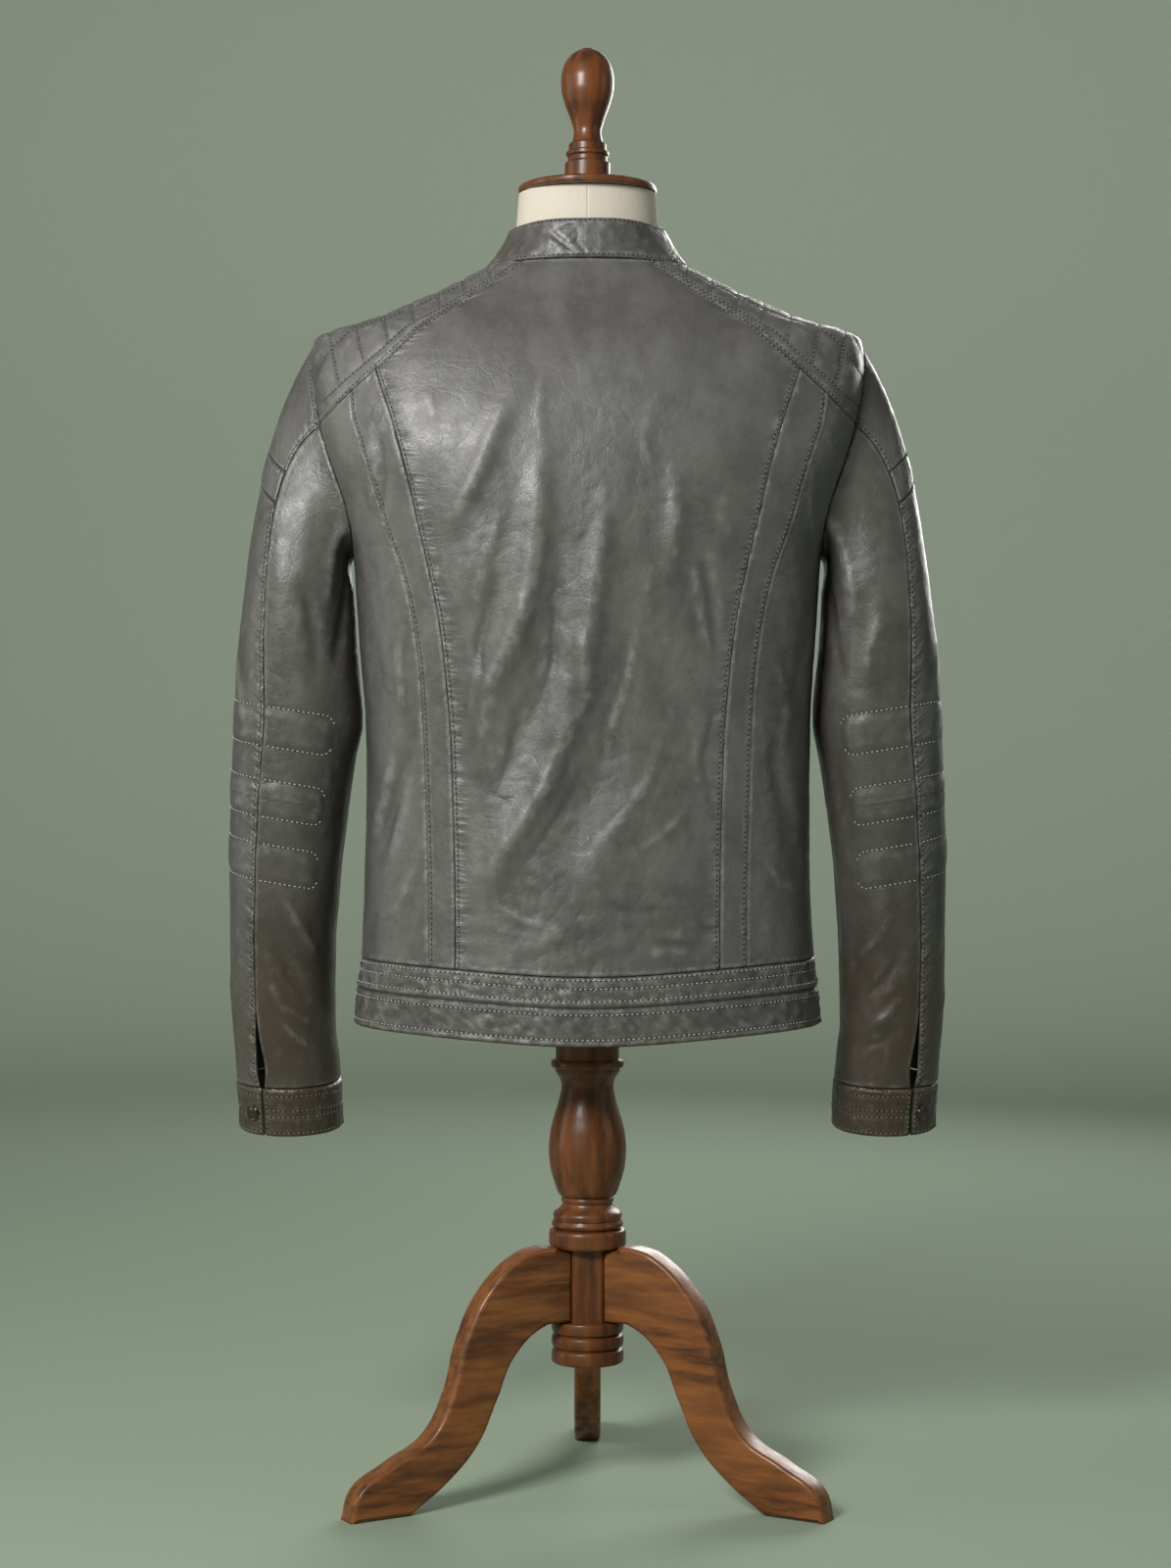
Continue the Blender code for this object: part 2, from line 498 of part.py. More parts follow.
SHARE_IN, SHARE_OUT = share_of(yoke_back, JOIN_IN[0]), share_of(yoke_back, JOIN_OUT[0])
YOKE_S = snapped(np.linspace(0, 1, YOKE_COLUMNS + 1), (SHARE_IN, SHARE_OUT))
IN_STRIP = (YOKE_S > SHARE_IN - 1e-9) & (YOKE_S < SHARE_OUT + 1e-9)
IN_SIDE = YOKE_S >= SHARE_OUT - 1e-9


# ---------------------------------------------------------------- sleeve surface
sleeve_near, sleeve_far, sleeve_mid, sleeve_deep, sleeve_power = (
    smooth(SLEEVE, k) for k in ("near", "far", "middle", "deep", "power"))
lead_out, lead_in, lead_down = (smooth(LEAD, k) for k in ("out", "inward", "down"))
vent = smooth(VENT, "open")
LEAD_PULL = 0.92         # how strongly the cap's curve follows its end directions
UNDERARM_LIFT = 0.6 * MM


def wrap(angle):
    return (np.asarray(angle, float) + 180.0) % 360.0 - 180.0


def v_level(z):
    """v of the level section at z, from 1 at TOP_RING to 2 at SLEEVE_END."""
    return (TOP_RING - z) / (TOP_RING - SLEEVE_END) + 1


def level_v(v):
    return TOP_RING - (np.maximum(v, 1) - 1) * (TOP_RING - SLEEVE_END)


def ring(angle, z):
    """Point of the left sleeve's level section; the angle runs from the outside."""
    c, s = np.cos(angle * DEG), np.sin(angle * DEG)
    half, n = (sleeve_far(z) - sleeve_near(z)) / 2, sleeve_power(z)
    r = ((np.abs(c) / half) ** n + (np.abs(s) / sleeve_deep(z)) ** n) ** (-1.0 / n)
    tilt = CUFF_TILT * ease(0.47, 0.34, z) * s
    middle = (sleeve_far(z) + sleeve_near(z)) / 2
    return np.stack([middle + r * c, sleeve_mid(z) + r * s, z - tilt + 0 * angle], -1)


def sleeve_bare(angle, v):
    """Left sleeve: v from 0 at the armhole to 1 at TOP_RING, and on down by v_level."""
    angle, v = np.broadcast_arrays(np.asarray(angle, float), np.asarray(v, float))
    turn = wrap(angle)
    w, side = np.abs(turn), np.sign(turn)
    q = armhole(turn)
    start = section(q[..., 0], q[..., 1])
    start = start + np.array([0, 0, UNDERARM_LIFT]) * ease(120, 165, w)[..., None]
    lead = unit(np.stack([lead_out(w), -side * lead_in(w), -lead_down(w)], -1))
    end = ring(angle, TOP_RING + 0 * angle)
    follow = unit(ring(angle, TOP_RING - 0.01 + 0 * angle) - end)
    far = np.linalg.norm(end - start, axis=-1, keepdims=True) * LEAD_PULL
    t = np.clip(v, 0, 1)[..., None]
    cap = ((2 * t**3 - 3 * t**2 + 1) * start + (t**3 - 2 * t**2 + t) * far * lead
           + (3 * t**2 - 2 * t**3) * end + (t**3 - t**2) * far * follow)
    return np.where(v[..., None] <= 1, cap, ring(angle, level_v(v)))


def sleeve_normal_of(surface, angle, v, turn, step):
    a = surface(angle + turn, v) - surface(angle - turn, v)
    b = surface(angle, v + step) - surface(angle, np.maximum(v - step, 0.0))
    return unit(np.cross(b, a))


def sleeve(angle, v):
    """Outer face of the left sleeve, with its folds."""
    p = sleeve_bare(angle, v)
    n = sleeve_normal_of(sleeve_bare, angle, v, 0.1, 1e-3)
    f = SLEEVE_FOLDS
    ends = np.stack([f["angle0"] * ARC_LENGTH, f["z0"], f["angle1"] * ARC_LENGTH, f["z1"]], -1)
    run = np.asarray(angle, float) % 360.0 * ARC_LENGTH
    high = fold_height(run, p[..., 2], ends, f["width"], f["height"])
    high = high * ease(0.355, 0.375, p[..., 2]) * ease(0.0, 0.12, v)
    return p + n * high[..., None]


def on_sleeve(angle, v):
    return sleeve(angle, v), sleeve_normal_of(sleeve, angle, v, 0.2, 2e-3)


def v_at(angle, z):
    """v where the sleeve comes down to z, found by halving."""
    low, high = np.zeros(np.shape(angle)), np.full(np.shape(angle), 2.0)
    for _ in range(40):
        mid = (low + high) / 2
        above = sleeve_bare(angle, mid)[..., 2] > z
        low, high = np.where(above, mid, low), np.where(above, high, mid)
    return (low + high) / 2


def band_top(angle):
    """z of the upper seam of the band round the upper arm."""
    return 0.8820 - 0.0240 * (np.abs(wrap(angle)) / BACK_SEAM) ** 2


# ---------------------------------------------------------------- making objects
def empty(name, parent=None, location=(0, 0, 0)):
    made = bpy.data.objects.new(name, None)
    PARTS.objects.link(made)
    made.parent = parent
    made.location = location
    return made


def material(name, look):
    colour, roughness, metallic = look
    made = bpy.data.materials.new(name)
    made.use_nodes = True
    shader = made.node_tree.nodes["Principled BSDF"]
    shader.inputs["Base Color"].default_value = (*colour, 1.0)
    shader.inputs["Roughness"].default_value = roughness
    shader.inputs["Metallic"].default_value = metallic
    return made


def place(name, data, look, parent, location=(0, 0, 0), rotation=(0, 0, 0)):
    """Object of its own with its own material, under an empty."""
    made = bpy.data.objects.new(name, data)
    PARTS.objects.link(made)
    data.materials.append(material(name, look))
    made.parent = parent
    made.location = location
    made.rotation_euler = rotation
    return made


def closed_mesh(name, bm):
    """Mesh from a closed bmesh, faces out, smooth but for its real edges."""
    bmesh.ops.recalc_face_normals(bm, faces=bm.faces)
    if bm.calc_volume(signed=True) < 0:
        bmesh.ops.reverse_faces(bm, faces=bm.faces)
    mesh = bpy.data.meshes.new(name)
    bm.to_mesh(mesh)
    bm.free()
    mesh.shade_smooth()
    mesh.set_sharp_from_angle(angle=40 * DEG)
    return mesh


def inset_edges(points, normals, gaps):
    """Draw the four edges of a grid in by their gaps, square to each edge."""
    drawn = points.copy()

    def draw(edge, inner, gap):
        square = unit(np.cross(normals[edge], unit(np.gradient(points[edge], axis=0))))
        inward = points[inner] - points[edge]
        sign = np.sign(np.sum(square * inward, axis=-1, keepdims=True))
        drawn[edge] += square * sign * gap

    every = slice(None)
    bottom, top, left, right = gaps
    draw((0, every), (1, every), bottom)
    draw((-1, every), (-2, every), top)
    draw((every, 0), (every, 1), left)
    draw((every, -1), (every, -2), right)
    return drawn


def wall(name, points, normals, relief=0.0, thick=WALL, gaps=(SEAM_GAP / 2,) * 4, lift=0.0):
    """Closed wall over a grid of outer points: a grid extruded inwards, then shaped.

    relief raises the outer points alone, lift moves the whole wall along the
    normals, and gaps are those of the bottom, top, left and right edges.
    """
    points = inset_edges(points, normals, gaps)
    outer = points + normals * (np.zeros(points.shape[:2]) + relief + lift)[..., None]
    inner = points + normals * (lift - thick)
    rows, columns = points.shape[:2]
    bm = bmesh.new()
    bmesh.ops.create_grid(bm, x_segments=columns - 1, y_segments=rows - 1, size=0.5)
    made = bmesh.ops.extrude_face_region(bm, geom=bm.faces[:])
    inside = {part for part in made["geom"] if isinstance(part, bmesh.types.BMVert)}
    for vert in bm.verts:
        i = round((vert.co.y + 0.5) * (rows - 1))
        j = round((vert.co.x + 0.5) * (columns - 1))
        vert.co = inner[i, j] if vert in inside else outer[i, j]
    return closed_mesh(name, bm)


def pair(name, mesh, look):
    """The left piece (+X) and its mirror image."""
    mesh.name = name + "_left"
    place(name + "_left", mesh, look, JACKET)
    other = bpy.data.meshes.new(name + "_right")
    bm = bmesh.new()
    bm.from_mesh(mesh)
    bmesh.ops.scale(bm, vec=(-1, 1, 1), verts=bm.verts)
    bmesh.ops.reverse_faces(bm, faces=bm.faces)
    bm.to_mesh(other)
    bm.free()
    place(name + "_right", other, look, JACKET)


def turned(name, profile, steps, look, parent, **where):
    """Turned solid: a profile run down from the axis and back to it, and a Screw."""
    z, radius = profile["z"][::-1], profile["radius"][::-1]
    points = [(0, 0, z[0])] + [(r, 0, level) for r, level in zip(radius, z)] + [(0, 0, z[-1])]
    mesh = bpy.data.meshes.new(name)
    mesh.from_pydata(points, [(k, k + 1) for k in range(len(points) - 1)], [])
    made = place(name, mesh, look, parent, **where)
    screw = made.modifiers.new("turn", "SCREW")
    screw.axis = "Z"
    screw.steps = screw.render_steps = steps
    screw.use_merge_vertices = True
    screw.merge_threshold = 0.00001
    return made


def outline(name, loops, thick):
    """Flat piece: closed outlines in its own plane, extruded both ways."""
    curve = bpy.data.curves.new(name, "CURVE")
    curve.dimensions = "2D"
    curve.fill_mode = "BOTH"
    curve.extrude = thick / 2
    for loop in loops:
        spline = curve.splines.new("POLY")
        spline.points.add(len(loop) - 1)
        for point, (x, y) in zip(spline.points, loop):
            point.co = (x * MM, y * MM, 0, 1)
        spline.use_cyclic_u = True
    return curve


def as_mesh(made):
    """The same object with its curve made a mesh and its caps welded on."""
    bpy.context.view_layer.update()
    shaped = made.evaluated_get(bpy.context.evaluated_depsgraph_get())
    bm = bmesh.new()
    bm.from_mesh(bpy.data.meshes.new_from_object(shaped))
    bmesh.ops.remove_doubles(bm, verts=bm.verts, dist=0.00001)
    mesh = closed_mesh(made.name, bm)
    mesh.materials.append(made.data.materials[0])
    name, parent, where = made.name, made.parent, made.matrix_world.copy()
    bpy.data.objects.remove(made, do_unlink=True)
    solid = bpy.data.objects.new(name, mesh)
    PARTS.objects.link(solid)
    solid.parent = parent
    solid.matrix_world = where
    return solid


def join(made, other):
    """Boolean union with a helper that is then hidden among the cutters."""
    for group in other.users_collection:
        group.objects.unlink(other)
    CUTTERS.objects.link(other)
    other.hide_render = True
    other.display_type = "WIRE"
    union = made.modifiers.new("join", "BOOLEAN")
    union.operation = "UNION"
    union.solver = "EXACT"
    union.object = other


STAND = empty("stand", location=(0, CENTRE_Y, 0))
JACKET = empty("jacket", parent=STAND)


# ---------------------------------------------------------------- dress form and stand
def build_form():
    """Padded torso a little inside the jacket, and its neck: rings lofted together."""
    phi = np.linspace(0, 2 * math.pi, FORM_COLUMNS, endpoint=False)
    s, c = np.sin(phi), np.cos(phi)
    distance = smooth(FORM_EASE, "distance")
    rings = []
    for z in FORM_LEVELS:
        level = np.full(FORM_COLUMNS, z)
        normal = normal_of(section, phi, level, 1e-3, 2e-4)
        below = distance(z) + FORM_FRONT_EASE * ease(0.05, -0.4, c)
        points = section(phi, level) - normal * below[:, None]
        if z in FORM_LEVELS[:2]:
            points[:, 2] = z
        rings.append(points)
    rings[0][:, :2] *= FORM_BASE_EDGE
    for z, half, back, front in zip(*FORM_NECK.values()):
        r = ((s / half) ** 2 + (c / np.where(c >= 0, back, front)) ** 2) ** -0.5
        rings.append(np.stack([r * s, r * c, np.full(FORM_COLUMNS, z)], -1))
    bm = bmesh.new()
    loops = [[bm.verts.new(p) for p in points] for points in rings]
    for low, high in zip(loops, loops[1:]):
        for i in range(FORM_COLUMNS):
            j = (i + 1) % FORM_COLUMNS
            bm.faces.new((low[i], low[j], high[j], high[i]))
    bm.faces.new(loops[0])
    bm.faces.new(loops[-1])
    place("form_torso", closed_mesh("form_torso", bm), LINEN, STAND)


def build_hub():
    """Turned rings above and below a six-sided block that the legs stand against."""
    hub = turned("stand_hub", HUB, 24, WALNUT, STAND)
    bm = bmesh.new()
    corner = HUB_FLAT / math.cos(30 * DEG)
    bmesh.ops.create_cone(bm, cap_ends=True, segments=6, radius1=corner, radius2=corner,
                          depth=HUB_BLOCK[1] - HUB_BLOCK[0], matrix=Matrix.Rotation(30 * DEG, 4, "Z"))
    block = place("hub_block", closed_mesh("hub_block", bm), WALNUT, STAND,
                  location=(0, 0, sum(HUB_BLOCK) / 2))
    join(hub, block)


def build_leg(name, azimuth):
    """S-shaped leg cut from a board, its edges rounded, its foot flat on the floor."""
    curve = bpy.data.curves.new(name, "CURVE")
    curve.dimensions = "2D"
    curve.fill_mode = "BOTH"
    curve.resolution_u = 2
    curve.bevel_depth = LEG_ROUND
    curve.bevel_resolution = 0
    curve.extrude = LEG_THICK / 2 - LEG_ROUND
    curve.offset = -LEG_ROUND
    spline = curve.splines.new("BEZIER")
    spline.bezier_points.add(len(LEG["r"]) - 1)
    for point, r, z, corner in zip(spline.bezier_points, *LEG.values()):
        point.co = (r, z, 0)
        point.handle_left_type = point.handle_right_type = "VECTOR" if corner else "AUTO"
    spline.use_cyclic_u = True
    place(name, curve, WALNUT, STAND, rotation=(90 * DEG, 0, (90 - azimuth) * DEG))


build_form()
turned("neck_cap", NECK_CAP, 20, WALNUT, STAND)
turned("finial", FINIAL, 14, WALNUT, STAND)
turned("stand_post", POST, 16, WALNUT, STAND)
build_hub()
for leg_name, leg_azimuth in LEG_AZIMUTHS.items():
    build_leg(leg_name, leg_azimuth)


# ---------------------------------------------------------------- body panels
def patch(bottom, top, left, right, s, t):
    """Grid of (phi, z) between four edges, blended from all of them."""
    S, T = (q[..., None] for q in np.meshgrid(s, t))
    corners = ((1 - S) * (1 - T) * bottom[0] + S * (1 - T) * bottom[-1]
               + (1 - S) * T * top[0] + S * T * top[-1])
    return ((1 - T) * bottom[None] + T * top[None] + (1 - S) * left[:, None] + S * right[:, None]
            - corners)


def straight(a, b, s):
    return a + (b - a) * s[:, None]


def build_back_centre():
    """Back between the inner princess seams; gives phi along its hem and its neck."""
    z = BAND_TOP + (JOIN_IN[1] - BAND_TOP) * T_BACK
    over = yoke_back(YOKE_S[YOKE_S <= SHARE_IN + 1e-9][::-1])
    right = np.concatenate([seam_at(x_inner(z), z, 1)[:-1], over])
    left = right * np.array([-1, 1])
    t = (right[:, 1] - right[0, 1]) / (right[-1, 1] - right[0, 1])
    bottom, top = straight(left[0], right[0], CENTRE_S), straight(left[-1], right[-1], CENTRE_S)
    top[:, 1] = neck_z(np.abs(top[:, 0]) / DEG)
    grid = patch(bottom, top, left, right, CENTRE_S, t)
    place("back_centre", wall("back_centre", *on_body(grid)), LEATHER, JACKET)
    return bottom[:, 0], top[:, 0]


def princess_seam(x, join_z):
    z = BAND_TOP + (join_z - BAND_TOP) * T_BACK
    return seam_at(x(z), z, 1)


def build_back_strip():
    """Narrow panel between the princess seams; gives phi along its hem."""
    left, right = princess_seam(x_inner, JOIN_IN[1]), princess_seam(x_outer, JOIN_OUT[1])
    inside = YOKE_S[IN_STRIP]
    top = yoke_back(np.interp(STRIP_S, np.linspace(0, 1, len(inside)), inside))
    left[-1], right[-1] = top[0], top[-1]
    bottom = straight(left[0], right[0], STRIP_S)
    grid = patch(bottom, top, left, right, STRIP_S, T_BACK)
    pair("back_strip", wall("back_strip", *on_body(grid)), LEATHER)
    return bottom[:, 0]


def side_and_armhole(under):
    """The side seam and then the armhole up to the yoke, in (phi, z)."""
    seam = np.stack([np.full(SEAM_ROWS, 90 * DEG), SIDE_Z], -1)
    return np.concatenate([seam[:-1], armhole(under)])


def build_back_side():
    """Back from the outer princess seam to the side seam; gives phi along its hem."""
    right = side_and_armhole(UNDER_BACK)
    left = princess_seam(x_outer, JOIN_OUT[1])
    top = yoke_back(YOKE_S[IN_SIDE])
    left[-1], right[-1] = top[0], top[-1]
    s = np.linspace(0, 1, len(top))
    bottom = straight(left[0], right[0], s)
    pair("back_side", wall("back_side", *on_body(patch(bottom, top, left, right, s, T_BACK))), LEATHER)
    return bottom[:, 0]


def build_front():
    """Front panel; gives phi along its hem and its neck, and its zip edge."""
    left = side_and_armhole(UNDER_FRONT)
    left[SEAM_ROWS - 1] = (90 * DEG, UNDERARM)
    t = np.linspace(0, 1, len(left))
    z = BAND_TOP + (NECK["z"][-1] - BAND_TOP) * t
    right = seam_at(np.full(len(z), ZIP_HALF - SEAM_GAP / 2), z, -1)
    part = FRONT_S / OVER_SHOULDER
    corner = yoke_front(0.0)
    neck_phi = corner[0] + (right[-1, 0] - corner[0]) * np.clip(part - 1, 0, 1)
    neck = np.stack([neck_phi, neck_z(neck_phi / DEG)], -1)
    top = np.where((part <= 1)[:, None], yoke_front(np.clip(1.0 - part, 0, 1)), neck)
    top[-1] = right[-1]
    half = section(left[0, 0], np.array(BAND_TOP))[0]
    bottom = seam_at(half * (1 - FRONT_S) + ZIP_HALF * FRONT_S, BAND_TOP, -1)
    bottom[0], bottom[-1] = left[0], right[0]
    points, normals = on_body(patch(bottom, top, left, right, FRONT_S, t))
    pair("front", wall("front", points, normals), LEATHER)
    return bottom[:, 0], top[part >= 1, 0], (points[:, -2:], normals[:, -2:])


def build_yoke():
    """Quilted shoulder piece: padding raised between its stitch lines; gives phi along its neck."""
    # Its front seam has the front panel's own points and runs straight between them.
    shared = np.clip(1.0 - FRONT_S[FRONT_S <= OVER_SHOULDER] / OVER_SHOULDER, 0, 1)[::-1]
    front_s = snapped(YOKE_S, shared)
    bottom, right, top = yoke_back(YOKE_S), armhole(YOKE_ARM), yoke_front(front_s)
    phi = bottom[0, 0] + (top[0, 0] - bottom[0, 0]) * YOKE_T
    left = np.stack([phi, neck_z(phi / DEG)], -1)
    left[0], left[-1] = bottom[0], top[0]
    S, T = np.meshgrid(YOKE_S, YOKE_T)
    across = np.abs(np.sin(math.pi / 2 * np.round(S * YOKE_COLUMNS)))
    down = np.abs(np.sin(math.pi * (T - QUILT_EDGE) / QUILT_PITCH))
    relief = QUILT_HIGH * across * down * (T > QUILT_EDGE + 0.01) * (T < 0.99)
    points, normals = on_body(patch(bottom, top, left, right, YOKE_S, YOKE_T))
    spots = [int(np.argmin(np.abs(front_s - q))) for q in shared]
    for k in range(3):
        points[-1, :, k] = np.interp(front_s, front_s[spots], points[-1, spots, k])
        normals[-1, :, k] = np.interp(front_s, front_s[spots], normals[-1, spots, k])
    pair("shoulder_yoke", wall("shoulder_yoke", points, unit(normals), relief=relief), LEATHER)
    return left[:, 0]


def build_hem_band(phi):
    """Band round the hem, open at the zip, with a stitched ridge pair in its middle."""
    z = BAND_TOP + (HEM - BAND_TOP) * HEM_ROWS["share"]
    points, normals = on_body(np.stack(np.meshgrid(phi, z), -1))
    gaps = (0.0, SEAM_GAP / 2, SEAM_GAP / 2, SEAM_GAP / 2)
    mesh = wall("hem_band", points, normals, relief=HEM_ROWS["relief"][:, None], thick=BAND_WALL,
                gaps=gaps)
    place("hem_band", mesh, LEATHER, JACKET)


def collar_point(phi, share):
    """Stand collar: share from 0 at the neck seam to 1 at the top edge."""
    angle = np.abs(phi) / DEG
    p = section(phi, neck_z(angle))
    tall = COLLAR_TALL + COLLAR_FRONT_TALL * ease(120, 180, angle)
    lean = COLLAR_LEAN + COLLAR_SIDE_LEAN * ease(20, 75, angle) * ease(125, 95, angle)
    out = unit(p * np.array([1, 1, 0]))
    q = p - out * (lean * share * (1.35 - 0.35 * share))[..., None]
    q[..., 2] = p[..., 2] + tall * share
    return q


def build_collar(phi):
    end = math.pi - math.atan2(COLLAR_OPEN, body_front(NECK["z"][-1]))
    phi = np.concatenate([[-end], phi[1:-1], [end]])
    angles, shares = np.meshgrid(phi, COLLAR_ROWS["share"])
    points = collar_point(angles, shares)
    normals = normal_of(collar_point, angles, shares, 1e-3, 1e-3)
    # Its foot stands clear of the panels, which turn up under it at the front.
    points[0, :, 2] += 0.2 * MM + 0.4 * MM * ease(95, 120, np.abs(phi) / DEG)
    mesh = wall("collar", points, normals, relief=COLLAR_ROWS["relief"][:, None],
                gaps=(SEAM_GAP / 2, 0, 0, 0))
    place("collar", mesh, LEATHER, JACKET)


def round_both(*parts):
    """Angles from the centre back out to the left, with their mirror images."""
    half = np.concatenate([parts[0]] + [p[1:] for p in parts[1:]])
    return np.concatenate([-half[:0:-1], half])


hem_back, neck_back = build_back_centre()
hem_strip = build_back_strip()
hem_side = build_back_side()
hem_front, neck_front, front_edge = build_front()
neck_side = build_yoke()
middle = len(CENTRE_S) // 2
build_hem_band(round_both(hem_back[middle:], hem_strip, hem_side, hem_front))
build_collar(round_both(neck_back[middle:], neck_side, neck_front))


# ---------------------------------------------------------------- sleeves
OUTER_ARC = np.concatenate([[FRONT_SEAM], YOKE_ARM[::-1]])
UNDER_ARC = np.concatenate([UNDER_BACK[::-1], 360.0 + UNDER_FRONT[1:-1]])


def open_outer(angle, v):
    """Turn the outer piece's back edge away from the vent, less and less round the arm."""
    opening = np.where(v > 1, vent(level_v(v)), 0.0)
    return angle - opening * (angle - FRONT_SEAM) / (BACK_SEAM - FRONT_SEAM)


def open_under(angle, v):
    opening = np.where(v > 1, vent(level_v(v)), 0.0)
    return angle + opening * (360 + FRONT_SEAM - angle) / (360 + FRONT_SEAM - BACK_SEAM)


def pad_height(angle, z):
    """Padding between the rows of stitches at the elbow."""
    turn = np.asarray(angle, float) % 360.0
    turn = np.where(turn > 310, turn - 360, turn)
    over = ease(12, 24, turn) * ease(134, 122, turn)
    high = np.zeros(np.shape(z))
    for low, top in zip(*PADS.values()):
        high = np.maximum(high, ease(low, low + PAD_SOFT, z) * ease(top, top - PAD_SOFT, z))
    return PAD_HIGH * high * over


def build_cap_and_band():
    """Sleeve head from the yoke's armhole to the band round the upper arm, and the band."""
    top = band_top(OUTER_ARC)
    v_top, v_low = v_at(OUTER_ARC, top), v_at(OUTER_ARC, top - SLEEVE_BAND)
    v = np.linspace(0, 1, 7)[:, None] * v_top
    pair("sleeve_cap", wall("sleeve_cap", *on_sleeve(OUTER_ARC + 0 * v, v)), LEATHER)
    v = v_top + np.array([0, 0.5, 1.0])[:, None] * (v_low - v_top)
    relief = np.array([0.0, 0.7 * MM, 0.0])[:, None]
    pair("sleeve_band", wall("sleeve_band", *on_sleeve(OUTER_ARC + 0 * v, v), relief=relief), LEATHER)
    return v_low


def build_outer(v_low):
    """Outer piece of the sleeve, from the band to the cuff."""
    head = v_low + np.array([0.0, 0.5])[:, None] * (1.0 - v_low)
    levels = v_level(np.append(SLEEVE_LEVELS, CUFF_TOP))[:, None] + 0 * OUTER_ARC
    v = np.concatenate([head, levels])
    angle = open_outer(OUTER_ARC + 0 * v, v)
    relief = pad_height(angle, np.where(v > 1, level_v(v), 1.0))
    pair("sleeve_outer", wall("sleeve_outer", *on_sleeve(angle, v), relief=relief), LEATHER)
    return angle[-1]


def build_under():
    """Under piece of the sleeve, from the underarm to the cuff."""
    head = np.array([0.0, 0.22, 0.5, 0.78])
    levels = v_level(np.append(SLEEVE_LEVELS, CUFF_TOP))
    v = np.concatenate([head, levels])[:, None] + 0 * UNDER_ARC
    angle = open_under(UNDER_ARC + 0 * v, v)
    relief = pad_height(angle, np.where(v > 1, level_v(v), 1.0))
    pair("sleeve_under", wall("sleeve_under", *on_sleeve(angle, v), relief=relief), WORN_LEATHER)
    return angle[-1]


def build_cuff(around):
    """Cuff from one edge of the vent round the wrist to the other."""
    edge = float(vent(SNAP_Z))
    around[0], around[-1] = BACK_SEAM + edge, BACK_SEAM + 360 - edge
    v = v_level(CUFF_TOP + (CUFF_END - CUFF_TOP) * CUFF_ROWS["share"])[:, None] + 0 * around
    mesh = wall("cuff", *on_sleeve(around + 0 * v, v), relief=CUFF_ROWS["relief"][:, None],
                thick=CUFF_WALL, gaps=(SEAM_GAP / 2, 0, SEAM_GAP / 2, SEAM_GAP / 2))
    pair("cuff", mesh, WORN_LEATHER)


def build_snaps():
    """Snap cap on the outer tab of each cuff, stood off along the cuff's own normal."""
    points, normals = on_sleeve(np.array([SNAP_ANGLE]), np.array([v_level(SNAP_Z)]))
    for side, name in ((1, "cuff_snap_left"), (-1, "cuff_snap_right")):
        flip = np.array([side, 1, 1])
        out = Vector(normals[0] * flip)
        turned(name, SNAP, 12, GUNMETAL, JACKET, location=points[0] * flip,
               rotation=out.to_track_quat("Z", "Y").to_euler())


band_low = build_cap_and_band()
outer_end = build_outer(band_low)
under_end = build_under()
build_cuff(np.concatenate([under_end, outer_end[1:] + 360.0]))
build_snaps()


# ---------------------------------------------------------------- zip
def build_tapes_and_chain(points, normals):
    """Tapes behind the front edges, and the row of teeth between them."""
    z = np.array([HEM + 0.8 * MM, (HEM + BAND_TOP) / 2])[:, None]
    low_points, low_normals = on_body(seam_at(points[0, :, 0] + 0 * z, z, -1))
    points = np.concatenate([low_points, points[:-1]])
    normals = np.concatenate([low_normals, normals[:-1]])
    edge, inner = points[:, 1], points[:, 0]
    share = ((TAPE_OUT - edge[:, 0]) / (inner[:, 0] - edge[:, 0]))[:, None]
    far = edge + (inner - edge) * share
    far_normal = unit(normals[:, 1] + (normals[:, 0] - normals[:, 1]) * share)
    across, out = np.stack([edge, far], 1), np.stack([normals[:, 1], far_normal], 1)
    # Behind the hem band, whose wall is thicker, the tape lies deeper.
    below = np.where(np.arange(len(points)) < 3, BAND_WALL + 0.4 * MM, WALL + 0.35 * MM)[:, None, None]
    mesh = wall("zip_tape", across - out * below, out, thick=TAPE_WALL, gaps=(0, 0, SEAM_GAP / 2, 0))
    pair("zip_tape", mesh, TAPE)
    chain = np.stack([edge, edge], 1)
    chain[:, :, 0] = (-CHAIN_HALF, CHAIN_HALF)
    ahead = unit(normals[:, 1] * np.array([0, 1, 1]))
    mesh = wall("zip_chain", chain, np.stack([ahead, ahead], 1), thick=CHAIN_WALL,
                lift=-SEAM_GAP, gaps=(0, 0, 0, 0))
    place("zip_chain", mesh, NICKEL, JACKET)


def zip_frame():
    """The slider's seat on the zip: its point, and the directions up and out there."""
    points, normals = on_body(np.array([[math.pi, SLIDER_Z]]))
    out = unit(normals[0] * np.array([0, 1, 1]))
    return points[0] - out * SLIDER_SINK, np.cross(out, (1.0, 0, 0)), out


def turn_to(x_axis, y_axis, z_axis):
    return Matrix((x_axis, y_axis, z_axis)).transposed().to_euler()


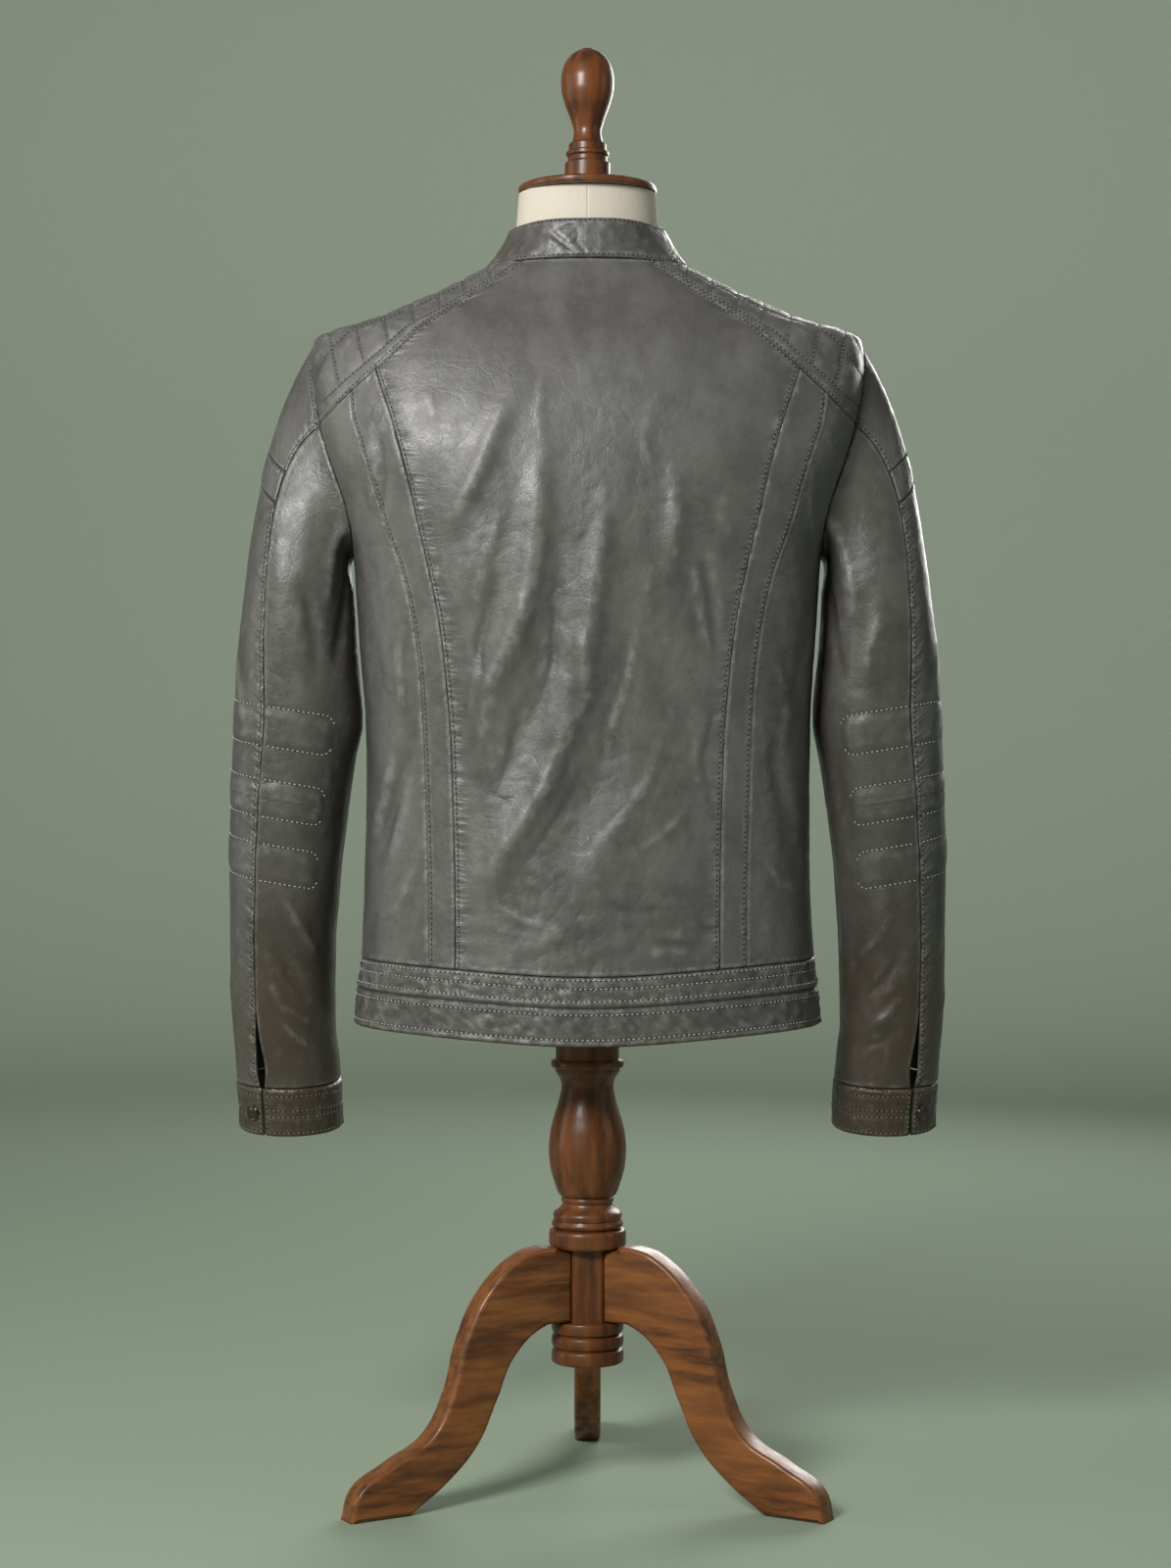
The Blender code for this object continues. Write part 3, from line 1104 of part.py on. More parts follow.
def build_slider():
    """Slider plate with a bridge joined on, and the pull on its hinge axis."""
    seat, up, out = zip_frame()
    across = (1.0, 0.0, 0.0)
    plate = place("zip_slider", outline("zip_slider", [PLATE], PLATE_SPAN[1] - PLATE_SPAN[0]), NICKEL,
                  JACKET, location=seat + out * sum(PLATE_SPAN) / 2, rotation=turn_to(across, up, out))
    bridge = place("slider_bridge", outline("slider_bridge", [BRIDGE, BRIDGE_WINDOW], BRIDGE_THICK),
                   NICKEL, JACKET, location=seat, rotation=turn_to(up, out, across))
    join(as_mesh(plate), as_mesh(bridge))
    place("zip_pull", outline("zip_pull", [PULL, PULL_EYE], PULL_THICK), NICKEL, JACKET,
          location=seat + out * PIVOT_HIGH, rotation=turn_to(across, up, out))


build_tapes_and_chain(*front_edge)
build_slider()
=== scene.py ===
"""Looks of the leather biker jacket on its dress form.

Metres, +Z up, front of the jacket towards -Y, wearer's left towards +X; the
stand's post is at y = CENTRE_Y. Every sewn piece is a fine grid on the same
surface as its solid, raised by its folds, creases, padding and stitching.
"""
import math

import bmesh
import bpy
import numpy as np
from mathutils import Matrix, Vector


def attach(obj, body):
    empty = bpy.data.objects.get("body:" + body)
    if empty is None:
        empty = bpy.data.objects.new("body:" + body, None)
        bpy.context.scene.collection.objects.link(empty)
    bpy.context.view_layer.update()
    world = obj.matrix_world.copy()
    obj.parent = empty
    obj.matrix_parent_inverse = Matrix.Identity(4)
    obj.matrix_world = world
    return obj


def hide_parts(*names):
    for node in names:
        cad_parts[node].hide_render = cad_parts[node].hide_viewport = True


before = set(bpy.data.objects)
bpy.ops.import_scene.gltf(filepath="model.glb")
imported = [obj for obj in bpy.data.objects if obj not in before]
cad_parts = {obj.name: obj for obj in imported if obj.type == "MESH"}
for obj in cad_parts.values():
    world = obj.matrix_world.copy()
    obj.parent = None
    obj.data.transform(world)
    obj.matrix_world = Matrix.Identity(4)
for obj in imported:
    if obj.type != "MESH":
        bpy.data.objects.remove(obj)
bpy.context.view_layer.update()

MM = 0.001
DEG = math.pi / 180.0


def table(columns, rows, plain=""):
    """A table as arrays by column name, in millimetres but for its plain columns."""
    return {name: np.array([row[k] for row in rows]) * (1.0 if name in plain.split() else MM)
            for k, name in enumerate(columns.split())}


def linked(name, data):
    """A new object in the scene."""
    made = bpy.data.objects.new(name, data)
    bpy.context.scene.collection.objects.link(made)
    return made


def mesh_of(name, verts, faces=(), edges=()):
    mesh = bpy.data.meshes.new(name)
    mesh.from_pydata(verts, edges, faces)
    return mesh


# ---------------------------------------------------------------- driving sizes
CENTRE_Y = 0.0475        # the post's axis, so that the whole sits centred on the origin
SEAM_GAP = 0.3 * MM      # between two sewn pieces
WALL = 1.8 * MM          # leather with its backing
BAND_WALL = 2.2 * MM     # doubled leather of the hem band
CUFF_WALL = 2.0 * MM
CHAIN_WALL = 2.2 * MM

HEM = 0.3958             # lower edge of the hem band
HEM_DROP = 0.0110        # the back hangs lower in its middle
BAND_TOP = 0.4520        # seam between the panels and the hem band
UNDERARM = 0.7900
BACK_SEAM = 66.0         # angles of the sleeve's two long seams round the arm
FRONT_SEAM = -62.0
FRONT_JOIN = -50.0       # where the front yoke seam meets the armhole
TOP_RING = 0.7600        # below this the sleeve's sections are level
SLEEVE_END = 0.3000      # z where the sleeve's v reaches 2
CUFF_TOP = 0.3455
CUFF_END = 0.3045
CUFF_TILT = 0.0052       # the cuff's back edge is lower than its front edge
SLEEVE_BAND = 0.0265     # height of the band round the upper arm
JOIN_IN = (0.1740, 0.9390)   # x, z where the princess seams meet the yoke seam
JOIN_OUT = (0.1950, 0.9205)

COLLAR_TALL = 33.5 * MM
COLLAR_FRONT_TALL = 2.0 * MM  # more at the front
COLLAR_LEAN = 4.5 * MM   # how far its top leans in, and how much more at the sides
COLLAR_SIDE_LEAN = 16.5 * MM
COLLAR_OPEN = 4.8 * MM   # from the centre front to each of its ends

ZIP_HALF = 3.8 * MM      # from the centre front to a front edge

QUILT_HIGH = 1.1 * MM    # padding between the yoke's stitch lines
QUILT_EDGE = 0.10        # share of the yoke beside its back seam that is left flat
QUILT_PITCH = 0.22       # share of the yoke between two long stitch lines
QUILT_START = 59.5 * MM  # x of the first cross line at the back seam
QUILT_CELL = 20.3 * MM   # between two cross lines
QUILT_LEAN = 0.2         # how far they lean outwards
PAD_HIGH = 1.2 * MM      # padding at the elbow
PAD_SOFT = 5.0 * MM      # how gently a pad rises

SNAP_ANGLE = BACK_SEAM - 13.0
SNAP_Z = 0.3235
LEG_THICK = 23.5 * MM
LEG_ROUND = 3.5 * MM
LEG_AZIMUTHS = {"leg_left": 60.0, "leg_right": -60.0, "leg_rear": 180.0}  # from +Y to +X

# ---------------------------------------------------------------- tables
# Body of the jacket, level sections: depth to the back and to the front, and
# the roundness power of the section.
BODY = table("z half back front power", [
    (385, 197, 121.5, 118, 2.25), (395.5, 197, 122, 118, 2.25), (452, 191.5, 119.5, 117.5, 2.3),
    (500, 189, 117.5, 117, 2.35), (560, 188, 115.5, 117.5, 2.4), (610, 187.5, 115, 119, 2.45),
    (650, 188, 116.5, 120.5, 2.5), (690, 190.5, 119.5, 122.5, 2.6), (720, 193, 122, 124, 2.65),
    (760, 195.5, 125, 125.5, 2.7), (790, 197.5, 126.5, 126, 2.8), (828, 207.5, 127.5, 125, 2.9),
    (870, 221.5, 125.5, 122, 3), (902, 229, 120.5, 116, 3), (930, 232.5, 113, 106.5, 2.9),
    (950, 234, 106.5, 97.5, 2.8), (970.8, 231.3, 97, 86, 2.7), (979, 216, 92.5, 80.5, 2.6),
    (983.6, 199, 90, 77.5, 2.55), (991.3, 177, 86, 73.5, 2.45), (1002.2, 153, 80, 66.5, 2.35),
    (1011.6, 131, 75, 61, 2.3), (1022.7, 109, 69.5, 56, 2.2), (1034.5, 86, 62.5, 52, 2.15),
    (1040, 76, 59, 50, 2.1),
], "power")
# Yoke seams from the collar to the armhole, over the back and over the front.
YOKE_BACK = table("x z", [
    (55, 1034.5), (82, 1013), (96.5, 1002.5), (115, 989.5), (143, 968), (164, 948), (174, 939), (184, 930),
    (195, 920.5), (200, 916), (212, 905.5),
])
YOKE_FRONT = table("x z", [
    (72, 1028.5), (110, 1003), (150, 975), (190, 948),
])
# Princess seams of the back: x of the inner and of the outer seam.
PRINCESS = table("z inner outer", [
    (452, 108, 130), (492.9, 108, 130), (560, 109, 131.5), (610, 110.5, 133), (626.5, 111, 133.5),
    (680, 115, 136), (725, 120, 141.5), (767, 128, 150.5), (810, 138, 165.5), (850, 147, 177),
    (880, 155, 187), (900, 161, 193), (920.5, 168, 195), (939, 174, 196),
])
# Armhole, and the head of the sleeve sewn to it: angle in degrees round the arm
# from the outside (0) over the back (90) to the underarm (180), and the distance
# from the shoulder's ridge. The front is its mirror image.
ARMHOLE = table("angle z y", [
    (0, 970.8, 0), (12, 968.8, 9.5), (25, 959, 19.5), (40, 940, 30.5), (54, 918, 41), (66, 897, 48.5),
    (80, 877, 54), (95, 855, 57.2), (110, 833, 56.5), (125, 814, 51.5), (140, 801.5, 42.5), (155, 794, 29),
    (168, 790.7, 15), (180, 790, 0),
], "angle")
# Neck seam, by the angle in degrees round the neck from the centre back.
NECK = table("angle z", [
    (0, 1034.5), (60, 1034.5), (100, 1034), (115, 1029.5), (130, 1020.5), (150, 1004), (165, 990.5),
    (180, 985),
], "angle")
# Sleeve, level sections: x nearest the body and outermost, y of the middle,
# half depth and roundness power.
SLEEVE = table("z near far middle deep power", [
    (760, 199, 290.5, 1, 59, 2.35), (720, 196.8, 295.5, 0, 58.5, 2.3), (690, 194.5, 298, -1, 57.5, 2.3),
    (652, 191.8, 300.5, -2.5, 56, 2.25), (620, 197.2, 302.2, -4, 54.8, 2.2),
    (592, 201.8, 303.4, -6, 53.5, 2.2), (560.5, 206.2, 304.8, -8, 52.2, 2.15),
    (531, 209.8, 305.2, -10.2, 51, 2.15), (500, 212.4, 305.5, -12.8, 49.9, 2.15),
    (473, 214.8, 305.8, -15.2, 49, 2.15), (420, 216.2, 305.3, -20.8, 47.6, 2.15),
    (393, 216.4, 304, -23.8, 46.9, 2.15), (366.7, 214, 302, -26.8, 46.3, 2.15),
    (345, 212.6, 300.8, -29, 45.8, 2.15), (325, 211.6, 299.4, -30.8, 45.4, 2.15),
    (300, 211, 298.5, -33, 45, 2.15),
], "power")
# Direction in which the sleeve leaves the armhole, by the angle round the arm.
LEAD = table("angle out inward down", [
    (0, 0.50, 0.00, 0.87), (30, 0.62, 0.08, 0.76), (60, 0.80, 0.22, 0.55),
    (90, 0.90, 0.32, 0.36), (120, 0.94, 0.26, 0.30), (150, 0.98, 0.12, 0.30),
    (180, 1.00, 0.00, 0.30),
], "angle out inward down")
# Soft folds of the body: x and z of both ends, half width, height (a trough is
# below 0).
BACK_FOLDS = table("x0 z0 x1 z1 width height", [
    (56, 925, 106.9, 812.6, 11, 2.2), (84, 803.9, 103, 746.1, 9, 2), (36, 860, 52.3, 742.1, 10, 2.8),
    (52.3, 742.1, 82.4, 678.8, 10, 3.2), (82.4, 678.8, 87.1, 610, 10, 2.6), (-16, 820, 4, 707.3, 11, 3.4),
    (4, 707.3, 34.8, 596.4, 12, 3.8), (34.8, 596.4, 86, 513, 13, 3.4), (-70.5, 850, -69.7, 770, 9, 2.2),
    (-91.9, 790, -103, 690, 8, -1.8), (25, 790, 30, 700, 11, -2.4), (30, 700, 60, 610, 12, -2.6),
    (-35, 740, -15, 620, 13, -2.2), (-15, 620, 25, 540, 13, -2), (-40, 590, 0, 520, 12, 2),
    (151.3, 615, 176, 525, 8, -2.4), (-150, 630, -172, 550, 8, -2), (-50, 476, -96, 470, 7, -1.6),
])
FRONT_FOLDS = table("x0 z0 x1 z1 width height", [
    (90, 900, 62, 760, 13, 2.2), (-90, 900, -66, 740, 13, 2.2), (50, 740, 110, 600, 13, 3),
    (-56, 720, -110, 580, 13, 3), (45, 620, 95, 505, 12, -2.2), (-45, 610, -95, 498, 12, -2.2),
])
# Soft folds of a sleeve: angle in degrees and z of both ends, half width, height.
SLEEVE_FOLDS = table("angle0 z0 angle1 z1 width height", [
    (128, 845, 118, 740, 8.5, 2.2), (150, 780, 128, 690, 8.5, -2), (100, 760, 112, 680, 8, -1.6),
    (100, 500, 128, 455, 7.5, 1.8), (90, 455, 120, 415, 7, -1.6), (95, 405, 125, 385, 6, 1.4),
    (20, 700, 45, 640, 8.5, 1.4), (250, 640, 290, 610, 7.5, -2.6), (235, 600, 285, 575, 8, 2.6),
    (250, 560, 290, 540, 7.5, -2.4), (240, 735, 225, 660, 8.5, 1.8), (300, 830, 318, 730, 8.5, 1.8),
], "angle0 angle1")
ARC_LENGTH = 0.9 * MM    # of one degree round a sleeve, for the folds' widths
# Half opening in degrees of the vent in the long back seam, over the cuff.
VENT = table("z open", [
    (290, 1.2), (338, 1.2), (345, 2.4), (360, 4.6), (385, 2.2), (414, 0), (980, 0),
], "open")

# Rows that the side seam and the armhole share.
UNDER_BACK = np.array([180.0, 160.0, 138.0, 112.0, 88.0, BACK_SEAM])
UNDER_FRONT = -np.array([180.0, 160.0, 138.0, 112.0, 88.0, -FRONT_SEAM, -FRONT_JOIN])
SEAM_ROWS = 9
OVER_SHOULDER = 0.5      # share of the front panel's top that is yoke seam

# Dress form: levels of its rings, its distance below the leather's outer face,
# and its neck over the shoulders.
FORM_LEVELS = (0.4045, 0.4100, 0.4700, 0.5600, 0.6500, 0.7400, 0.8100, 0.8600,
               0.9000, 0.9300, 0.9520, 0.9700, 0.9810, 0.9920, 1.0060, 1.0220)
FORM_BASE_EDGE = 0.972   # the base is drawn in by this share at its edge
FORM_EASE = table("z distance", [
    (400, 13), (700, 11.5), (850, 11), (920, 8.5), (950, 6), (980, 3.7), (1000, 3.2), (1040, 3),
])
FORM_FRONT_EASE = 3.5 * MM  # the form stands this much further off the zip
FORM_NECK = table("z half back front", [
    (1029, 84, 59, 49), (1037, 72.5, 55, 48), (1048, 65, 52.5, 47), (1065, 61.2, 50.5, 46.5),
    (1098.5, 58.5, 49, 45.5),
])
# Turned profiles, from the bottom up.
FINIAL = table("z radius", [
    (1106, 19), (1119.7, 19.3), (1125, 19.3), (1127, 16.8), (1130.5, 16.8), (1132.2, 18.3), (1134.7, 18.3),
    (1136.2, 16), (1141.2, 16), (1143.2, 13.6), (1152.7, 11.7), (1160, 13.6), (1167.6, 16.2), (1178, 20),
    (1188, 22.2), (1196.3, 22.6), (1205, 21.2), (1213, 17.6), (1219, 11.8), (1222.8, 4.8),
])
NECK_CAP = table("z radius", [
    (1098.8, 56), (1100, 58.4), (1103, 58.8), (1104.8, 57.5), (1105.7, 54),
])
POST = table("z radius", [
    (228.6, 28.5), (232.3, 29.3), (234.5, 28.5), (238.5, 23.5), (241.3, 21.5), (243, 21), (244, 22.2),
    (246.3, 22.3), (247.5, 21.5), (249.4, 23.9), (260, 28.2), (273, 31.8), (287.7, 33), (302, 31.8),
    (316, 28.4), (330, 24.3), (341.8, 22.2), (348, 23.6), (353, 26.8), (354.7, 27.6), (356.5, 27.6),
    (358, 30.5), (360, 31.1), (363.2, 30.5), (364.8, 27), (404.2, 27),
])
HUB = table("z radius", [
    (107, 28.5), (108.5, 30.5), (113, 30.8), (118, 30), (120, 27.5), (121.8, 30), (126, 30.8), (130.2, 30),
    (132, 27.5), (133.8, 30), (139, 30.8), (142.8, 30), (143.2, 19), (204.8, 19), (205.5, 31.5),
    (209, 32.8), (216.5, 32.8), (220, 31.5), (221.1, 27.5), (222.2, 29.2), (224.5, 30.5), (228.3, 29),
])
HUB_FLAT = 21.2 * MM     # from the axis to a flat of the six-sided block between the rings
HUB_BLOCK = (0.1405, 0.2075)
# Outline of a leg from the hub over the knee to the foot and back: distance from
# the post's axis, z, and whether the outline has a corner there.
LEG = table("r z corner", [
    (21.5, 144, 1), (21.5, 204.4, 1), (33.6, 204.4, 1), (36.2, 208, 1), (49.5, 208, 0), (69.7, 201.8, 0),
    (101.9, 174, 0), (121.9, 135.9, 0), (133.8, 94.5, 0), (153.4, 61.3, 0), (188.3, 42.2, 0), (219, 23, 0),
    (226.6, 0, 1), (172.9, 0, 1), (137.6, 23.4, 0), (110, 51, 0), (91.9, 86.5, 0), (75.8, 119.7, 0),
    (45.3, 143.2, 0), (35.1, 144, 1),
], "corner")

# ---------------------------------------------------------------- details of the leather
STITCH_PITCH = 4.2 * MM
STITCH_LENGTH = 2.9 * MM
STITCH_RADIUS = 0.36 * MM

# Creases that follow a path, in millimetres: half width, height (a trough is
# below 0), then the points. On the body they are (x, z), on the collar (x,
# height), on a sleeve (angle in degrees, z).
BACK_CREASES = [
    (6, 1.4, (68.1, 908.5), (85, 860), (106.9, 812.6)), (5.5, 1.3, (70, 818), (82, 780), (92, 746.1)),
    (8.5, 2.6, (38, 845.1), (40, 795.2), (49, 742.1), (64, 707.3), (79, 678.8), (85, 631.8)),
    (8, 2.7, (-13.5, 809.5), (-6.8, 750.9), (1, 707.3), (2.6, 669.8), (17.8, 636.5), (34.8, 596.4),
     (51.5, 567.9), (70.5, 543.4), (83.2, 518)),
    (4.5, 1.2, (-70.5, 839.6), (-71.5, 808), (-69.7, 777.8)),
    (4, -1.3, (-91.9, 786.5), (-98.5, 745), (-103, 703.3)),
    (3.5, 0.9, (-86, 775), (-93, 735), (-98.5, 705)), (4, 1, (131.5, 918.8), (124.3, 894.2)),
    (3.5, -1.3, (-52, 472), (-56.2, 469.7), (-93.5, 466.5)),
    (6, -1.6, (22, 790), (27, 735), (28, 695), (46, 645)), (6, -1.6, (73, 770), (84, 725), (95, 690)),
    (5.5, -1.3, (56, 665), (63, 620), (76, 585)), (4, 0.9, (-40, 730), (-33, 680), (-18, 640), (-16, 605)),
    (4, 0.8, (-62, 640), (-48, 600), (-29, 570), (-5, 545)),
    (4, -0.9, (3, 615), (16, 585), (35, 556), (53, 530)), (3.5, 0.8, (-82, 580), (-60, 556), (-35, 538)),
    (3.5, 0.7, (78, 500), (50, 486), (20, 480)), (3.5, -0.7, (-10, 506), (-35, 495), (-70, 498)),
    (4, 0.6, (35, 940), (40, 900), (35, 865)), (4, 0.6, (-50, 910), (-45, 870), (-55, 845)),
    (3, 0.7, (96, 720), (90, 690), (96, 650)), (3, -0.7, (-102, 660), (-93, 620), (-99, 580)),
]
SIDE_CREASES = {
    "_left": [
        (4.5, -1.6, (151.3, 615), (160, 580), (168, 550), (177, 525)),
        (4, 1, (160, 625), (170, 585), (179, 550)), (4, 0.9, (148, 740), (156, 700), (152, 660)),
        (3.5, -0.8, (175, 730), (170, 685), (176, 650)), (3.5, 0.8, (142, 530), (155, 500), (172, 485)),
        (4, 0.8, (195, 870), (189, 830), (193, 795)), (4.5, 1.4, (180, 895), (175, 860), (177, 825)),
        (5, -1.6, (169, 885), (165.5, 845), (168, 810)), (4.5, 1.1, (160, 890), (150, 855), (144, 835)),
        (4, -0.9, (152, 895), (143, 860), (137, 835)),
    ],
    "_right": [
        (4.5, -1.4, (150, 635), (158, 595), (172, 555)), (4, 0.9, (156, 700), (164, 655), (161, 620)),
        (3.5, -0.9, (178, 720), (172, 680), (177, 635)), (3.5, 0.8, (143, 540), (160, 515), (178, 510)),
        (4, 0.8, (185, 860), (183, 825), (188, 790)),
    ],
}
FRONT_CREASES = {
    "_left": [
        (5, 1.2, (90, 900), (74, 840), (62, 770)), (5, 1.3, (50, 740), (76, 680), (110, 610)),
        (4.5, -1.1, (45, 630), (70, 570), (95, 510)), (4, 0.8, (130, 690), (120, 620), (138, 550)),
        (6, 0.9, (140, 820), (130, 770), (133, 730)),
    ],
    "_right": [
        (5, 1.2, (88, 890), (75, 820), (68, 745)), (5, 1.3, (56, 720), (80, 655), (112, 590)),
        (4.5, -1.1, (42, 600), (68, 550), (96, 500)), (4, 0.8, (135, 720), (126, 650), (140, 590)),
        (6, 0.9, (138, 830), (130, 790), (135, 750)),
    ],
}
COLLAR_CREASES = [
    (2.2, 0.8, (10, 7), (16, 15), (26, 24)), (2, 0.7, (20, 6), (30, 14), (36, 22)),
    (2, -0.7, (15, 6), (24, 15), (31, 23)), (2, 0.5, (-30, 9), (-22, 16), (-19, 24)),
    (2, 0.5, (-58, 8), (-50, 18)), (2, -0.5, (55, 22), (64, 12)),
]
SLEEVE_CREASES = {
    "_left": [
        (5, 1.5, (130, 845), (122, 790), (118, 745)), (4.5, -1.4, (150, 785), (138, 735), (128, 695)),
        (4, -1.1, (98, 760), (108, 720), (112, 685)), (4, 1.2, (96, 500), (112, 478), (130, 455)),
        (4, -1.1, (88, 462), (104, 436), (122, 418)), (3.5, 1.1, (80, 432), (96, 410), (126, 395)),
        (3.5, 1, (92, 398), (108, 384), (130, 372)), (4.5, 1.2, (20, 720), (32, 685), (46, 650)),
        (4, -1, (8, 500), (24, 470), (44, 452)), (4, 0.9, (2, 440), (22, 415), (40, 402)),
        (4.5, -1.5, (245, 640), (268, 622), (292, 612)), (4.5, 1.4, (235, 602), (260, 585), (288, 575)),
        (4.5, 1.1, (240, 740), (230, 700), (226, 655)), (4, 0.9, (190, 720), (200, 670), (196, 620)),
        (4, -0.9, (170, 560), (182, 510), (176, 460)), (4, 0.9, (215, 500), (235, 470), (260, 455)),
    ],
    "_right": [
        (5, 1.4, (128, 850), (121, 800), (116, 735)), (4.5, -1.3, (148, 775), (135, 725), (124, 690)),
        (4, 1, (92, 740), (104, 705), (110, 680)), (4, 1.1, (94, 492), (110, 468), (132, 452)),
        (4, -1.2, (86, 455), (106, 430), (126, 420)), (3.5, 1, (84, 420), (100, 402), (124, 392)),
        (3.5, -0.9, (90, 392), (106, 380), (128, 376)), (4.5, 1.1, (16, 730), (30, 700), (44, 660)),
        (4, -0.9, (4, 490), (20, 465), (46, 445)), (4, 0.9, (6, 430), (26, 408), (42, 398)),
        (4.5, -1.4, (240, 630), (266, 615), (290, 600)), (4.5, 1.3, (238, 596), (258, 578), (284, 570)),
        (4.5, 1, (236, 730), (226, 690), (230, 640)), (4, 0.9, (186, 700), (196, 655), (190, 600)),
        (4, -0.9, (172, 540), (180, 495), (170, 450)),
    ],
}
# Cap of a snap, turned: a ring with a groove and a domed middle.
SNAP_CAP = table("z radius", [
    (1.25, 6.5), (1.75, 6.6), (2.1, 6.35), (2.2, 5.9), (2, 5.4), (1.95, 5.1), (2.35, 4.8), (2.75, 3.9),
    (2.98, 2.6), (3.05, 1.2),
])


# ---------------------------------------------------------------- curves and folds
def smooth(rows, column):
    """Monotone cubic through one column of a table, against its first column."""
    x, y = next(iter(rows.values())), rows[column]
    order = np.argsort(x)
    x, y = x[order], y[order]
    h, d = np.diff(x), np.diff(y) / np.diff(x)
    m = np.concatenate([[d[0]], np.zeros(len(x) - 2), [d[-1]]])
    for i in range(1, len(x) - 1):
        if d[i - 1] * d[i] > 0:
            w1, w2 = 2 * h[i] + h[i - 1], h[i] + 2 * h[i - 1]
            m[i] = (w1 + w2) / (w1 / d[i - 1] + w2 / d[i])

    def at(q):
        q = np.asarray(q, float)
        i = np.clip(np.searchsorted(x, q) - 1, 0, len(x) - 2)
        full = (q - x[i]) / h[i]
        t = np.clip(full, 0.0, 1.0)
        value = ((2 * t**3 - 3 * t**2 + 1) * y[i] + (t**3 - 2 * t**2 + t) * h[i] * m[i]
                 + (3 * t**2 - 2 * t**3) * y[i + 1] + (t**3 - t**2) * h[i] * m[i + 1])
        return value + (full - t) * h[i] * np.where(full > t, m[i + 1], m[i])
    return at


def ease(a, b, q):
    """Smooth step from 0 at a to 1 at b."""
    t = np.clip((np.asarray(q, float) - a) / (b - a), 0.0, 1.0)
    return t * t * (3 - 2 * t)


def bell(q, width):
    return np.exp(-(q / width) ** 2)


def unit(v):
    return v / np.maximum(np.linalg.norm(v, axis=-1, keepdims=True), 1e-12)


def fold_height(p, q, ends, widths, heights):
    """Sum of soft ridges and troughs along segments from (p0, q0) to (p1, q1)."""
    total = np.zeros(np.broadcast(p, q).shape)
    for (p0, q0, p1, q1), width, height in zip(ends, widths, heights):
        dp, dq = p1 - p0, q1 - q0
        share = np.clip(((p - p0) * dp + (q - q0) * dq) / (dp * dp + dq * dq), 0.0, 1.0)
        away = np.hypot(p - p0 - share * dp, q - q0 - share * dq)
        fade = 0.55 + 0.45 * np.sin(math.pi * share)
        total = total + height * bell(away, width) * fade
    return total


def body_folds(folds, x, z):
    ends = np.stack([folds["x0"], folds["z0"], folds["x1"], folds["z1"]], -1)
    return fold_height(x, z, ends, folds["width"], folds["height"])


def normal_of(surface, u, v, du, dv):
    a = surface(u + du, v) - surface(u - du, v)
    b = surface(u, v + dv) - surface(u, v - dv)
    return unit(np.cross(b, a))


# ---------------------------------------------------------------- body surface
body_half, body_back, body_front, body_power = (
    smooth(BODY, k) for k in ("half", "back", "front", "power"))
neck_z = smooth(NECK, "z")
x_inner, x_outer = smooth(PRINCESS, "inner"), smooth(PRINCESS, "outer")


def round_arm():
    """The armhole's table for all angles from -180 to 180 and a little past them."""
    a, z, y = ARMHOLE["angle"], ARMHOLE["z"], ARMHOLE["y"]
    low = (a > 130) & (a < 180)
    return {"angle": np.concatenate([a, -a[1:], 360 - a[low], a[low] - 360]),
            "z": np.concatenate([z, z[1:], z[low], z[low]]),
            "y": np.concatenate([y, -y[1:], -y[low], y[low]])}


arm_z, arm_y = smooth(round_arm(), "z"), smooth(round_arm(), "y")


def section(phi, z):
    """Point of the body's level section at z; phi runs from the centre back."""
    s, c = np.sin(phi), np.cos(phi)
    n = body_power(z)
    deep = np.where(c >= 0, body_back(z), body_front(z))
    r = ((np.abs(s) / body_half(z)) ** n + (np.abs(c) / deep) ** n) ** (-1.0 / n)
    return np.stack([r * s, r * c, z + 0 * phi], -1)


def body_bare(phi, z):
    p = section(phi, z)
    drop = HEM_DROP * ease(0.63, 0.43, z) * np.clip(np.cos(phi), 0, 1) ** 2
    p[..., 2] = p[..., 2] - drop
    return p


def body(phi, z):
    """Outer face of the leather over the body, with its folds."""
    p = body_bare(phi, z)
    n = normal_of(body_bare, phi, z, 1e-3, 2e-4)
    x, y, level = p[..., 0], p[..., 1], p[..., 2]
    back = ease(-0.02, 0.03, y)
    high = back * body_folds(BACK_FOLDS, x, level) + (1 - back) * body_folds(FRONT_FOLDS, x, level)
    # No folds on the band, on the shoulders, at the side seams or along the zip.
    calm = ease(HEM, BAND_TOP + 0.02, z) * ease(0.985, 0.93, z)
    calm = calm * ease(1.0, 0.93, np.abs(x) / body_half(z))
    calm = calm * ease(0.0, 0.02, np.abs(x) + ease(0.0, 0.02, y))
    return p + n * (high * calm)[..., None]


def body_normal(phi, z):
    return normal_of(body, phi, z, 2e-3, 4e-4)


def phi_at(x, z, side):
    """Angle of the body's section where it passes x, on the back (1) or the front (-1)."""
    n = body_power(z)
    deep = body_back(z) if side > 0 else body_front(z)
    y = deep * np.maximum(1 - (np.abs(x) / body_half(z)) ** n, 0.0) ** (1.0 / n)
    return np.arctan2(x, side * y)


def seam_at(x, z, side):
    return np.stack([phi_at(x, z, side), z + 0 * x], -1)


def armhole(angle):
    """Seam of the armhole in (phi, z); the angle is below 0 at the front."""
    z, y = arm_z(angle), arm_y(angle)
    deep, n = np.where(y >= 0, body_back(z), body_front(z)), body_power(z)
    x = body_half(z) * (1 - (np.abs(y) / deep) ** n) ** (1.0 / n)
    return np.stack([np.arctan2(x, y), z], -1)


